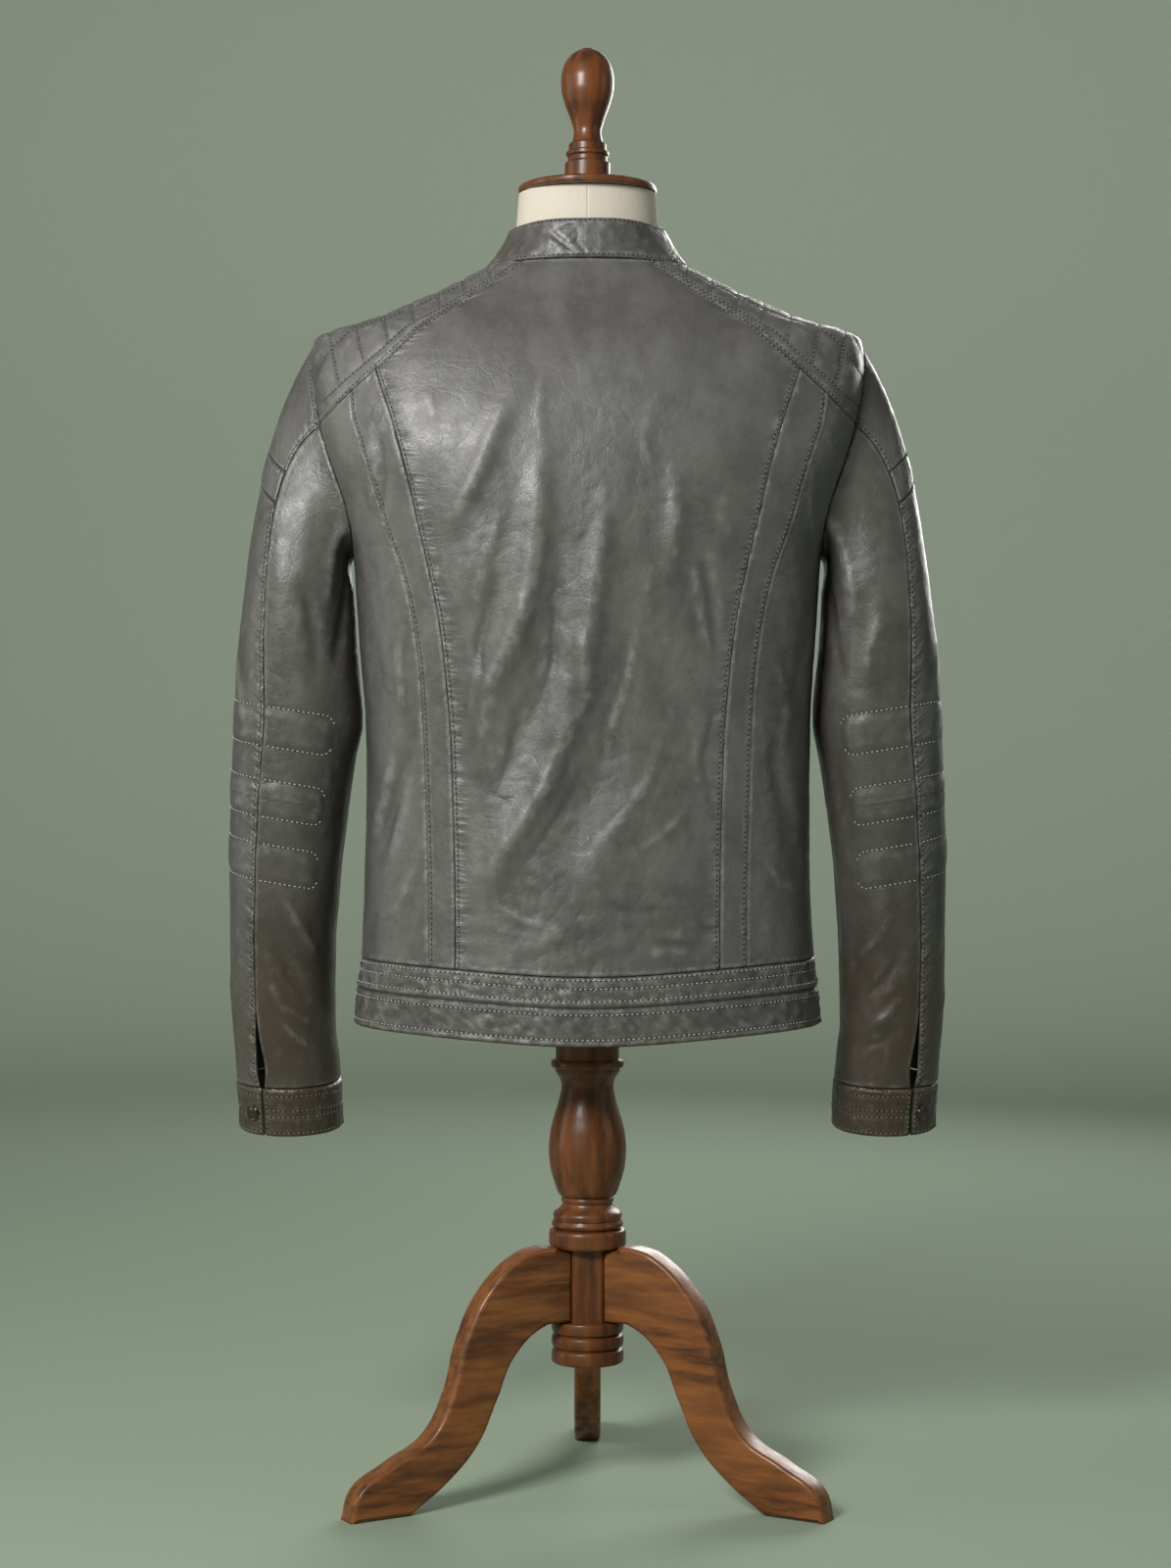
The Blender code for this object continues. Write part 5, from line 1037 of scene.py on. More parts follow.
def hem_band():
    """Band with its stitched rows, a pair of ridges and close puckers between them."""
    end = phi_at(ZIP_HALF, BAND_TOP, -1)
    shares = steps(1050, 2.8)
    phi = end * (2 * shares - 1)
    t = steps(56.2, 1.1, 0.8)
    z = HEM + (BAND_TOP - HEM) * t
    piece = Piece("hem_band", body(*np.meshgrid(phi, z)))
    below, run = piece.edge("top")
    piece.high += 0.8 * MM * ease(0, 3 * MM, below) * ease(0, 2 * MM, piece.up)
    for distance in (21.3 * MM, 28.9 * MM):
        piece.high += 0.8 * MM * bell(below - distance, 2.2 * MM)
    piece.high -= 0.9 * MM * bell(below - 25.1 * MM, 1.0 * MM)
    # Painted shade in the groove between the two ridges.
    piece.shade_wear_highlight[..., 0] = 0.95 * bell(below - 25.1 * MM, 0.9 * MM)
    gathers = (noise((run + 0.6 * below) / (4.4 * MM), below / (8 * MM), 131)
               + 0.7 * noise((run - 0.8 * below) / (9 * MM), below / (12 * MM), 133))
    piece.high += 0.62 * MM * gathers * (1 - 0.6 * bell(below - 25 * MM, 5 * MM))
    piece.high += hide(run, below, 29.0, 0.2, 1.2)
    piece.shade_wear_highlight[..., 1] = 1.4 * bell(piece.up, 2.2 * MM)
    # Painted highlight on the crests of the gathers.
    piece.shade_wear_highlight[..., 2] = 0.5 * ease(0.4, 1.2, gathers)
    piece.sew("top", 134, rows=(2.6, 9.5, 19.6, 30.6), pucker=0.45, edge_highlight=0.9, thread="light")
    piece.sew("bottom", 135, rows=(6.0,), roll=0.9, pucker=0.35, thread="light")
    for side in ("left", "right"):
        piece.sew(side, 136, rows=(5.5,), roll=0.5)
    place_piece(piece, LEATHER_SLEEVE, BAND_WALL)


def collar():
    end = math.pi - math.atan2(COLLAR_OPEN, body_front(NECK["z"][-1]))
    phi = end * (2 * steps(420, 1.8) - 1)
    share = steps(34, 1.0, 0.7)
    piece = Piece("collar", collar_point(*np.meshgrid(phi, share)))
    x = piece.across - piece.across[:, [len(phi) // 2]]
    piece.high += 0.5 * MM * ease(0, 3 * MM, piece.up) * ease(0, 3 * MM, piece.edge("top")[0])
    piece.high += ridges(x, piece.up, COLLAR_CREASES)
    piece.high += hide(x, piece.up, 33.0, 0.7, 2.6)
    piece.shade_wear_highlight[..., 1] = 0.5 * ease(0.05, 0.11, np.abs(x)) * ease(0.2, 0.1, np.abs(x))
    piece.sew("bottom", 141, rows=(2.4,), pucker=0.18)
    piece.sew("top", 142, rows=(2.2,), roll=0.7, pucker=0.15)
    for side in ("left", "right"):
        piece.sew(side, 143, roll=0.6)
    place_piece(piece, LEATHER_SLEEVE, WALL)


# ---------------------------------------------------------------- the sleeves
def open_outer(angle, v):
    opening = np.where(v > 1, vent(level_v(v)), 0.0)
    return angle - opening * (angle - FRONT_SEAM) / (BACK_SEAM - FRONT_SEAM)


def open_under(angle, v):
    opening = np.where(v > 1, vent(level_v(v)), 0.0)
    return angle + opening * (360 + FRONT_SEAM - angle) / (360 + FRONT_SEAM - BACK_SEAM)


PAD_SLOPE = 0.15 * MM    # a pad's lines drop by this for each degree towards the body
PAD_FROM, PAD_TO = -6.0, 128.0
PAD_CORNER = 9 * MM


def pad_distance(angle, z, low, top):
    """Distance outside a pad's stitched outline, below 0 inside it."""
    run = (angle - (PAD_FROM + PAD_TO) / 2) * ARC_LENGTH
    level = z - PAD_SLOPE * (BACK_SEAM - angle) - (low + top) / 2
    half = np.array([(PAD_TO - PAD_FROM) / 2 * ARC_LENGTH, (top - low) / 2]) - PAD_CORNER
    qx, qy = np.abs(run) - half[0], np.abs(level) - half[1]
    outside = np.hypot(np.maximum(qx, 0), np.maximum(qy, 0))
    return outside + np.minimum(np.maximum(qx, qy), 0) - PAD_CORNER


def pad_outline(low, top):
    """Angles and z of a pad's stitched outline."""
    half_run, half_tall = (PAD_TO - PAD_FROM) / 2 * ARC_LENGTH, (top - low) / 2
    path = []
    for turn in np.linspace(0, 2 * math.pi, 240):
        c, s = math.cos(turn), math.sin(turn)
        path.append((math.copysign(half_run - PAD_CORNER, c) + PAD_CORNER * c,
                     math.copysign(half_tall - PAD_CORNER, s) + PAD_CORNER * s))
    path = np.array(path)
    length = np.concatenate([[0], np.cumsum(np.linalg.norm(np.diff(path, axis=0), axis=1))])
    fine = np.linspace(0, length[-1], 1400)
    run, level = (np.interp(fine, length, path[:, k]) for k in (0, 1))
    angle = run / ARC_LENGTH + (PAD_FROM + PAD_TO) / 2
    return angle, level + (low + top) / 2 + PAD_SLOPE * (BACK_SEAM - angle)


ELBOW_PADS = [(0.630, 0.663), (0.5715, 0.6025), (0.518, 0.549)]
PAD_MIDDLE = 0.587       # level of the middle pad's tuck


def add_pads(piece, angle, level):
    """Padding, tuck and stitched outlines on one of the long pieces, with painted shade in their grooves and
    a painted highlight on the tuck's ridge.
    """
    turn = np.where(angle > 300, angle - 360, angle)
    rows, columns = angle.shape
    row_z = level[:, columns // 2]
    mid_row = rows // 2
    for low, top in ELBOW_PADS:
        away = pad_distance(turn, level, low, top)
        piece.high += 0.7 * PAD_HIGH * ease(0, -1.6 * PAD_SOFT, away)
        piece.high -= 0.30 * MM * bell(away, 0.9 * MM)
        # Painted shade in the outline's groove.
        piece.paint_shade(0.25 * bell(away, 0.8 * MM))
        path_angle, path_z = pad_outline(low, top)
        i = np.interp(-path_z, -row_z, np.arange(rows))
        j = np.interp(path_angle, turn[mid_row], np.arange(columns))
        inside = (j > 1.5) & (j < columns - 2.5)
        breaks = np.flatnonzero(np.diff(inside.astype(int))) + 1
        for run_i, run_j, run_in in zip(np.split(i, breaks), np.split(j, breaks), np.split(inside, breaks)):
            if run_in[0] and len(run_i) > 10:
                piece.lines.append((run_i, run_j, "light"))
    tuck = level - PAD_SLOPE * (BACK_SEAM - turn) - PAD_MIDDLE
    over = ease(PAD_FROM, PAD_FROM + 8, turn) * ease(PAD_TO, PAD_TO - 6, turn)
    piece.high += 0.4 * MM * over * bell(tuck - 1.6 * MM, 1.4 * MM)
    piece.high -= 0.7 * MM * over * bell(tuck, 0.9 * MM)
    # Painted shade in the tuck's groove and a painted highlight on its ridge.
    piece.paint_shade(0.6 * over * bell(tuck, 0.7 * MM))
    piece.shade_wear_highlight[..., 2] += 0.8 * over * bell(tuck - 1.5 * MM, 0.7 * MM)


def sleeve_cap(side, seed):
    s, t = steps(150), steps(110, 2.0)
    arc = FRONT_SEAM + (BACK_SEAM - FRONT_SEAM) * s
    v = t[:, None] * v_at(arc, band_top(arc))
    piece = Piece("sleeve_cap" + side, sleeve(arc + 0 * v, v))
    piece.high += hide(piece.across, piece.up, 43.0 + seed, 0.5, 1.0) * ease(0, 0.01, piece.up)
    piece.shade_wear_highlight[..., 1] = 0.45 * ease(-10, -40, arc) + 0.3 * ease(25, 0, np.abs(arc))
    piece.sew("bottom", seed + 151, rows=(2.4,), pucker=0.3, reach=7)
    piece.sew("top", seed + 152, roll=0.8, edge_highlight=0.9)
    piece.sew("left", seed + 153)
    piece.sew("right", seed + 154, rows=(2.6,), pucker=0.35, reach=8)
    return piece


def sleeve_band(side, seed):
    s, t = steps(150, 1.3), steps(SLEEVE_BAND / MM, 1.0, 0.7)
    arc = FRONT_SEAM + (BACK_SEAM - FRONT_SEAM) * s
    v_top, v_low = v_at(arc, band_top(arc)), v_at(arc, band_top(arc) - SLEEVE_BAND)
    v = v_top + t[:, None] * (v_low - v_top)
    piece = Piece("sleeve_band" + side, sleeve(arc + 0 * v, v))
    piece.high += 0.7 * MM * np.sin(math.pi * t)[:, None] ** 0.5
    piece.high += 0.30 * MM * noise(piece.across / (3.4 * MM), piece.up / (20 * MM), 161 + seed)
    piece.high += hide(piece.across, piece.up, 47.0 + seed, 0.2, 1.0)
    piece.shade_wear_highlight[..., 1] = 0.3 * ease(25, 0, np.abs(arc))
    for edge in ("bottom", "top"):
        piece.sew(edge, seed + 162, rows=(1.9,), roll=0.9, pucker=0.25, edge_highlight=0.9)
    piece.sew("left", seed + 163)
    piece.sew("right", seed + 164)
    return piece


def long_piece(name, angle, v, seed, soft):
    """Long piece of a sleeve, creased and with its share of the elbow pads."""
    points = sleeve(angle, v)
    piece, level = Piece(name, points), points[..., 2]
    piece.high += hide(angle * ARC_LENGTH, level, seed, soft) * ease(0, 0.012, piece.up)
    creases = SLEEVE_CREASES["_left" if name.endswith("_left") else "_right"]
    piece.high += ridges(angle % 360 * ARC_LENGTH, level, creases, ARC_LENGTH)
    add_pads(piece, angle, level)
    return piece, level


def sleeve_outer(side, seed):
    s, t = steps(145), steps(530, 2.1)
    arc = FRONT_SEAM + (BACK_SEAM - FRONT_SEAM) * s
    v_low = v_at(arc, band_top(arc) - SLEEVE_BAND)
    head = 0.18                      # share of the piece above the level sections
    part = t[:, None]
    v = np.where(part < head, v_low + (1 - v_low) * part / head,
                 1 + (v_level(CUFF_TOP) - 1) * (part - head) / (1 - head))
    angle = open_outer(arc + 0 * v, v)
    piece, level = long_piece("sleeve_outer" + side, angle, v, 51.0 + seed, 0.8)
    piece.shade_wear_highlight[..., 1] = 0.26 * ease(30, 0, np.abs(angle)) + 0.45 * ease(0.50, 0.36, level)
    # Painted shade: darker towards the cuff, where less light falls.
    piece.shade_wear_highlight[..., 0] = 0.20 * ease(0.62, 0.42, level)
    piece.sew("bottom", seed + 171, edge_highlight=0.9)
    piece.sew("top", seed + 172, pucker=0.25)
    piece.sew("left", seed + 173)
    piece.sew("right", seed + 174, rows=(2.8,), pucker=0.75, reach=9)
    return piece


def sleeve_under(side, seed):
    s, t = steps(235), steps(560, 2.1)
    arc = BACK_SEAM + (360 + FRONT_SEAM - BACK_SEAM) * s
    head = 0.12
    part = t[:, None] + 0 * arc
    v = np.where(part < head, part / head, 1 + (v_level(CUFF_TOP) - 1) * (part - head) / (1 - head))
    angle = open_under(arc + 0 * v, v)
    piece, level = long_piece("sleeve_under" + side, angle, v, 57.0 + seed, 0.9)
    piece.shade_wear_highlight[..., 1] = np.maximum(0.75 * ease(0.58, 0.40, level),
                                    0.5 * ease(125, 160, angle) * ease(235, 200, angle))
    # Painted shade: darker towards the cuff, where less light falls.
    piece.shade_wear_highlight[..., 0] = 0.25 * ease(0.66, 0.42, level)
    piece.sew("left", seed + 181, roll=0.8, pucker=0.12, edge_highlight=1.2)
    piece.sew("right", seed + 182)
    piece.sew("bottom", seed + 183)
    piece.sew("top", seed + 184)
    return piece


def cuff(side, seed):
    edge = float(vent(SNAP_Z))
    around = BACK_SEAM + edge + (360 - 2 * edge) * steps(270, 1.6, 0.8)
    t = steps((CUFF_TOP - CUFF_END) / MM, 1.0, 0.7)
    v = v_level(CUFF_TOP + (CUFF_END - CUFF_TOP) * t)[:, None] + 0 * around
    piece = Piece("cuff" + side, sleeve(around + 0 * v, v))
    down = piece.up
    piece.high += 0.8 * MM * ease(0, 4 * MM, down) * ease(0, 2.5 * MM, piece.edge("top")[0])
    piece.high -= 0.5 * MM * bell(down - 21.8 * MM, 1.6 * MM)
    gathers = noise(piece.across / (4.4 * MM), down / (13 * MM), 191 + seed)
    piece.high += 0.30 * MM * gathers + hide(piece.across, down, 61.0 + seed, 0.25, 1.3)
    piece.shade_wear_highlight[..., 1] = 0.85 - 0.4 * ease(10 * MM, 45 * MM, np.minimum(piece.across, 0.04))
    # Painted highlight on the crests of the gathers.
    piece.shade_wear_highlight[..., 2] = 0.4 * ease(0.3, 1.0, gathers)
    piece.sew("bottom", rows=(6.6, 19.0, 24.6, 38.0), pucker=0.35, seed=seed + 192, edge_highlight=0.9)
    piece.sew("top", seed + 193, roll=0.8)
    for end in ("left", "right"):
        piece.sew(end, seed + 194, rows=(2.4,), roll=0.9, edge_highlight=0.9)
    return piece


def underlap(side, seed):
    """The cuff's under edge, which runs on behind the snap's tab."""
    angle = BACK_SEAM + np.linspace(-9.0, 9.0, 9)
    v = v_level(CUFF_TOP - 1 * MM + (CUFF_END - CUFF_TOP + 2 * MM) * np.linspace(0, 1, 9))[:, None]
    piece = Piece("cuff_underlap" + side, sleeve(angle + 0 * v, v + 0 * angle))
    piece.high -= CUFF_WALL + 0.15 * MM
    piece.base = piece.base + piece.normals * piece.high[..., None]
    piece.high[...] = 0
    return piece


# ---------------------------------------------------------------- thread
def many(name, verts, shape):
    """One mesh of many alike small forms: their corners, and the faces of one."""
    block = np.stack(verts, 1) + (0, CENTRE_Y, 0)
    faces = [tuple(len(verts) * n + v for v in face) for n in range(len(block)) for face in shape]
    return mesh_of(name, block.reshape(-1, 3).tolist(), faces)


def hole_shade_mesh(name, groups):
    """Painted shade of the needle holes between the stitches: low dark studs of five sides."""
    spot, ahead, out = (np.concatenate([g[k] for g in groups]) for k in range(3))
    side = unit(np.cross(out, ahead))
    verts = [spot + out * 0.24 * MM]
    for turn in range(5):
        c, s = math.cos(turn * 72 * DEG), math.sin(turn * 72 * DEG)
        verts.append(spot + ahead * (0.95 * MM * c) + side * (0.80 * MM * s) + out * 0.04 * MM)
    return many(name, verts, [(0, 1 + k, 1 + (k + 1) % 5) for k in range(5)] + [(5, 4, 3, 2, 1)])


def thread_mesh(name, groups, thin=STITCH_RADIUS):
    """All stitches as one mesh: each a short spindle pulled down at both ends."""
    spot, ahead, out = (np.concatenate([g[k] for g in groups]) for k in range(3))
    side = unit(np.cross(out, ahead))
    half = STITCH_LENGTH / 2
    verts = [spot - ahead * half - out * 0.25 * MM]
    for shift in (-0.62 * half, 0.62 * half):
        for c, s in ((1, 0), (0, 1), (-1, 0), (0, -1)):
            verts.append(spot + ahead * shift + out * (thin * (s + 0.45)) + side * (thin * c * 1.15))
    verts.append(spot + ahead * half - out * 0.25 * MM)
    turns = ((0, 1), (1, 2), (2, 3), (3, 0))
    mesh = many(name, verts, [(0, 1 + b, 1 + a) for a, b in turns]
                + [(1 + a, 1 + b, 5 + b, 5 + a) for a, b in turns] + [(9, 5 + a, 5 + b) for a, b in turns])
    mesh.shade_smooth()
    return mesh


# ---------------------------------------------------------------- finishes
class Finish:
    """A material's nodes, wired by hand."""

    def __init__(self, name, roughness=0.5, metallic=0.0):
        self.made = bpy.data.materials.new(name)
        self.made.use_nodes = True
        self.tree = self.made.node_tree
        self.shader = self.tree.nodes["Principled BSDF"]
        self.shader.inputs["Roughness"].default_value = roughness
        self.shader.inputs["Metallic"].default_value = metallic

    def add(self, kind, inputs=(), **settings):
        made = self.tree.nodes.new(kind)
        for key, value in settings.items():
            setattr(made, key, value)
        for key, value in dict(inputs).items():
            if isinstance(value, bpy.types.NodeSocket):
                self.tree.links.new(value, made.inputs[key])
            else:
                made.inputs[key].default_value = value
        return made

    def coordinates(self, scale=(1, 1, 1)):
        where = self.add("ShaderNodeTexCoord").outputs["Object"]
        return self.add("ShaderNodeMapping", {"Vector": where, "Scale": scale}).outputs[0]

    def noise(self, scale, detail=4.0, stretch=(1, 1, 1), rough=0.55):
        return self.add("ShaderNodeTexNoise", {
            "Vector": self.coordinates(stretch), "Scale": scale, "Detail": detail,
            "Roughness": rough}).outputs["Fac"]

    def span(self, value, low, high, to_low=0.0, to_high=1.0):
        return self.add("ShaderNodeMapRange", {
            "Value": value, "From Min": low, "From Max": high, "To Min": to_low,
            "To Max": to_high}, interpolation_type="SMOOTHSTEP").outputs[0]

    def calculate(self, operation, a, b):
        return self.add("ShaderNodeMath", {0: a, 1: b}, operation=operation).outputs[0]

    def times(self, a, b):
        return self.calculate("MULTIPLY", a, b)

    def blend(self, factor, a, b):
        made = self.add("ShaderNodeMix", data_type="RGBA")
        for key, value in ((0, factor), (6, a), (7, b)):
            if isinstance(value, bpy.types.NodeSocket):
                self.tree.links.new(value, made.inputs[key])
            else:
                made.inputs[key].default_value = (*value, 1.0) if isinstance(value, tuple) else value
        return made.outputs[2]

    def colour(self, value):
        if isinstance(value, tuple):
            self.shader.inputs["Base Color"].default_value = (*value, 1.0)
        else:
            self.tree.links.new(value, self.shader.inputs["Base Color"])

    def set(self, key, value):
        self.tree.links.new(value, self.shader.inputs[key])

    def bump(self, height, distance, strength=1.0, under=None):
        inputs = {"Height": height, "Distance": distance, "Strength": strength}
        if under is not None:
            inputs["Normal"] = under
        return self.add("ShaderNodeBump", inputs).outputs[0]


def leather_finish(name, dark, light, brown):
    """Washed leather: clouded greys, brown edges, painted shade in seams, grooves and hollows, painted
    highlights on ridges and beside seams, fine grain.
    """
    f = Finish(name)
    shade_wear_highlight = f.add("ShaderNodeSeparateColor",
                 {0: f.add("ShaderNodeAttribute", attribute_name="shade_wear_highlight").outputs["Color"]})
    clouds = f.span(f.noise(26.0, 8.0, (1.0, 1.0, 0.6), 0.66), 0.28, 0.72)
    base = f.blend(clouds, dark, light)
    patches = f.span(f.noise(7.0, 3.0, (1.0, 1.0, 0.6)), 0.50, 0.75)
    base = f.blend(f.times(patches, 0.35), base, dark)
    specks = f.span(f.noise(240.0, 3.0), 0.56, 0.72)
    base = f.blend(f.times(specks, 0.30), base, light)
    tint = f.times(shade_wear_highlight.outputs[1], f.span(f.noise(24.0, 4.0), 0.25, 0.65, 0.35, 1.0))
    base = f.blend(tint, base, brown)
    # Painted highlight on crests, puckers and edges beside seams.
    painted_highlight = f.times(shade_wear_highlight.outputs[2], f.span(f.noise(90.0, 4.0), 0.40, 0.62, 0.1, 0.62))
    base = f.blend(painted_highlight, base, tuple(min(1.0, 1.75 * q) for q in light))
    # Painted shade in seams, grooves, hollows and on parts turned from the light, and a darker inner face.
    base = f.blend(f.times(shade_wear_highlight.outputs[0], 0.86), base, (0.020, 0.019, 0.017))
    f.colour(base)
    f.set("Roughness", f.span(f.noise(60.0, 4.0), 0.3, 0.7, 0.30, 0.44))
    warp = f.add("ShaderNodeTexNoise", {"Vector": f.coordinates(), "Scale": 45.0, "Detail": 3.0})
    bent = f.add("ShaderNodeVectorMath", {0: f.coordinates(), 1: f.add("ShaderNodeVectorMath", {
        0: warp.outputs["Color"], 3: 0.016}, operation="SCALE").outputs[0]}, operation="ADD").outputs[0]
    creased = f.add("ShaderNodeTexVoronoi", {"Vector": bent, "Scale": 62.0},
                    feature="DISTANCE_TO_EDGE").outputs["Distance"]
    grain = f.add("ShaderNodeTexVoronoi", {"Vector": f.coordinates(), "Scale": 820.0},
                  feature="DISTANCE_TO_EDGE").outputs["Distance"]
    cells = f.bump(f.span(grain, 0.0, 0.25), 0.07 * MM, 0.6)
    lines = f.bump(f.noise(170.0, 6.0, rough=0.62), 0.50 * MM, 0.55, cells)
    lines = f.bump(f.span(creased, 0.0, 0.09), 0.20 * MM, 0.25, lines)
    # Close puckers square to the nearest seam.
    seam = f.add("ShaderNodeSeparateColor", {
        0: f.add("ShaderNodeAttribute", attribute_name="sewing").outputs["Color"]})
    where = f.add("ShaderNodeCombineXYZ", {0: f.times(seam.outputs[0], 24.0),
                                           1: f.times(seam.outputs[1], 5.0)})
    waves = f.add("ShaderNodeTexNoise", {"Vector": where.outputs[0], "Scale": 1.0, "Detail": 2.0})
    pulled = f.times(f.calculate("SUBTRACT", waves.outputs["Fac"], 0.5), seam.outputs[2])
    f.set("Normal", f.bump(pulled, 4.0 * MM, 1.0, lines))
    return f.made


def linen_finish(name):
    f = Finish(name, 0.88)
    base = f.blend(f.noise(700.0, 3.0, (1, 1, 0.12)), (0.58, 0.52, 0.44), (0.68, 0.625, 0.545))
    base = f.blend(f.times(f.noise(14.0, 3.0), 0.25), base, (0.53, 0.47, 0.39))
    f.colour(base)
    up = f.noise(1500.0, 1.0, (0.15, 0.15, 1.0))
    across = f.noise(1500.0, 1.0, (1.0, 1.0, 0.15))
    f.set("Normal", f.bump(f.calculate("ADD", up, across), 0.15 * MM, 0.7))
    return f.made


def walnut_finish(name, stretch, light=(0.175, 0.055, 0.015), broad_light=(0.225, 0.078, 0.022)):
    """Stained wood under a satin coat; its grain runs along the stretched axis."""
    f = Finish(name, 0.40)
    grain = f.span(f.noise(110.0, 6.0, stretch, 0.62), 0.30, 0.70)
    base = f.blend(grain, (0.042, 0.011, 0.0030), light)
    broad = f.span(f.noise(16.0, 3.0, stretch), 0.35, 0.65)
    base = f.blend(f.times(broad, 0.40), base, broad_light)
    f.colour(base)
    f.shader.inputs["Coat Weight"].default_value = 0.20
    f.shader.inputs["Coat Roughness"].default_value = 0.20
    f.shader.inputs["IOR"].default_value = 1.40
    f.set("Roughness", f.span(grain, 0, 1, 0.50, 0.34))
    f.set("Normal", f.bump(grain, 0.05 * MM, 0.5))
    return f.made


def plain_finish(name, colour, roughness, metallic=0.0, worn=0.0):
    f = Finish(name, roughness, metallic)
    if worn:
        dull = tuple(0.35 * q for q in colour)
        f.colour(f.blend(f.times(f.span(f.noise(300.0, 4.0), 0.4, 0.7), worn), colour, dull))
    else:
        f.colour(colour)
    return f.made


GREY = ((0.080, 0.077, 0.0735), (0.136, 0.132, 0.1275), (0.105, 0.053, 0.031))
LEATHER_BACK = leather_finish("washed grey leather", *GREY)
LEATHER_SLEEVE = leather_finish("washed grey leather, sleeve", (0.068, 0.065, 0.061),
                                (0.116, 0.112, 0.107), (0.092, 0.048, 0.029))
LEATHER_UNDER = leather_finish("darker leather, under sleeve", (0.058, 0.0555, 0.051),
                               (0.102, 0.099, 0.092), (0.062, 0.035, 0.021))
LEATHER_CUFF = leather_finish("darker leather, cuff", (0.032, 0.0255, 0.020),
                              (0.062, 0.052, 0.042), (0.056, 0.029, 0.016))
THREAD_GREY = plain_finish("grey thread", (0.185, 0.185, 0.175), 0.75)
THREAD_LIGHT = plain_finish("light grey thread", (0.42, 0.42, 0.40), 0.75)
# Painted shade of a needle hole.
HOLE_SHADE = plain_finish("painted needle-hole shade", (0.018, 0.017, 0.015), 0.9)
LINEN = linen_finish("cream linen")
WALNUT_UP = walnut_finish("walnut, turned", (1, 1, 0.10))
WALNUT_LEG = walnut_finish("walnut, legs", (0.14, 1, 1), (0.26, 0.090, 0.024), (0.34, 0.125, 0.038))
TAPE = plain_finish("woven tape", (0.022, 0.022, 0.022), 0.85)
NICKEL = plain_finish("dark nickel", (0.30, 0.28, 0.26), 0.33, 1.0, 0.5)
GUNMETAL = plain_finish("dark bronze", (0.13, 0.10, 0.08), 0.24, 1.0, 0.3)

# ---------------------------------------------------------------- leather
both(back_strip, LEATHER_BACK)
back_centre()
both(back_side, LEATHER_BACK)
both(front, LEATHER_BACK)
both(shoulder_yoke, LEATHER_BACK)
hem_band()
collar()
both(sleeve_cap, LEATHER_SLEEVE)
both(sleeve_band, LEATHER_SLEEVE)
both(sleeve_outer, LEATHER_SLEEVE)
both(sleeve_under, LEATHER_UNDER)
both(cuff, LEATHER_CUFF, CUFF_WALL)
both(underlap, LEATHER_CUFF, 0.8 * MM)


def put(name, data, finish, node, slot_name, location=(0, CENTRE_Y, 0), rotation=(0, 0, 0)):
    """Object riding on the jacket and its form, in place of a solid."""
    made = linked(name, data)
    data.materials.append(finish)
    made.location = location
    made.rotation_euler = rotation
    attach(made, "jacket_on_form")
    if node:
        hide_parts(node)
    return made


put("thread_grey", thread_mesh("thread_grey", THREADS["grey"]), THREAD_GREY, None, "leather",
    location=(0, 0, 0))
put("thread_light", thread_mesh("thread_light", THREADS["light"], 0.42 * MM), THREAD_LIGHT, None,
    "leather", location=(0, 0, 0))
put("needle_hole_shade", hole_shade_mesh("needle_hole_shade", HOLE_SHADES), HOLE_SHADE, None, "leather", location=(0, 0, 0))


# ---------------------------------------------------------------- dress form and stand
def refined(profile, count):
    """The profile with more points, curved where its own points turn gently."""
    z, radius = profile["z"], profile["radius"]
    run = np.concatenate([[0], np.cumsum(np.hypot(np.diff(z), np.diff(radius)))])
    rows = {"run": run, "z": z, "radius": radius}
    places = np.union1d(np.linspace(0, run[-1], count), run)
    return {"z": smooth(rows, "z")(places), "radius": smooth(rows, "radius")(places)}


def turned(name, profile, finish, count=120, turns=72, **where):
    fine = refined(profile, count)
    z, radius = fine["z"][::-1], fine["radius"][::-1]
    points = [(0, 0, z[0])] + [(r, 0, level) for r, level in zip(radius, z)] + [(0, 0, z[-1])]
    mesh = mesh_of(name, points, edges=[(k, k + 1) for k in range(len(points) - 1)])
    made = put(name, mesh, finish, where.pop("node", None), where.pop("slot_name", "wood"), **where)
    screw = made.modifiers.new("turn", "SCREW")
    screw.axis = "Z"
    screw.steps = screw.render_steps = turns
    screw.use_merge_vertices = True
    screw.merge_threshold = 0.00001
    screw.use_smooth_shade = True
    split = made.modifiers.new("edges", "EDGE_SPLIT")
    split.split_angle = 42 * DEG
    return made


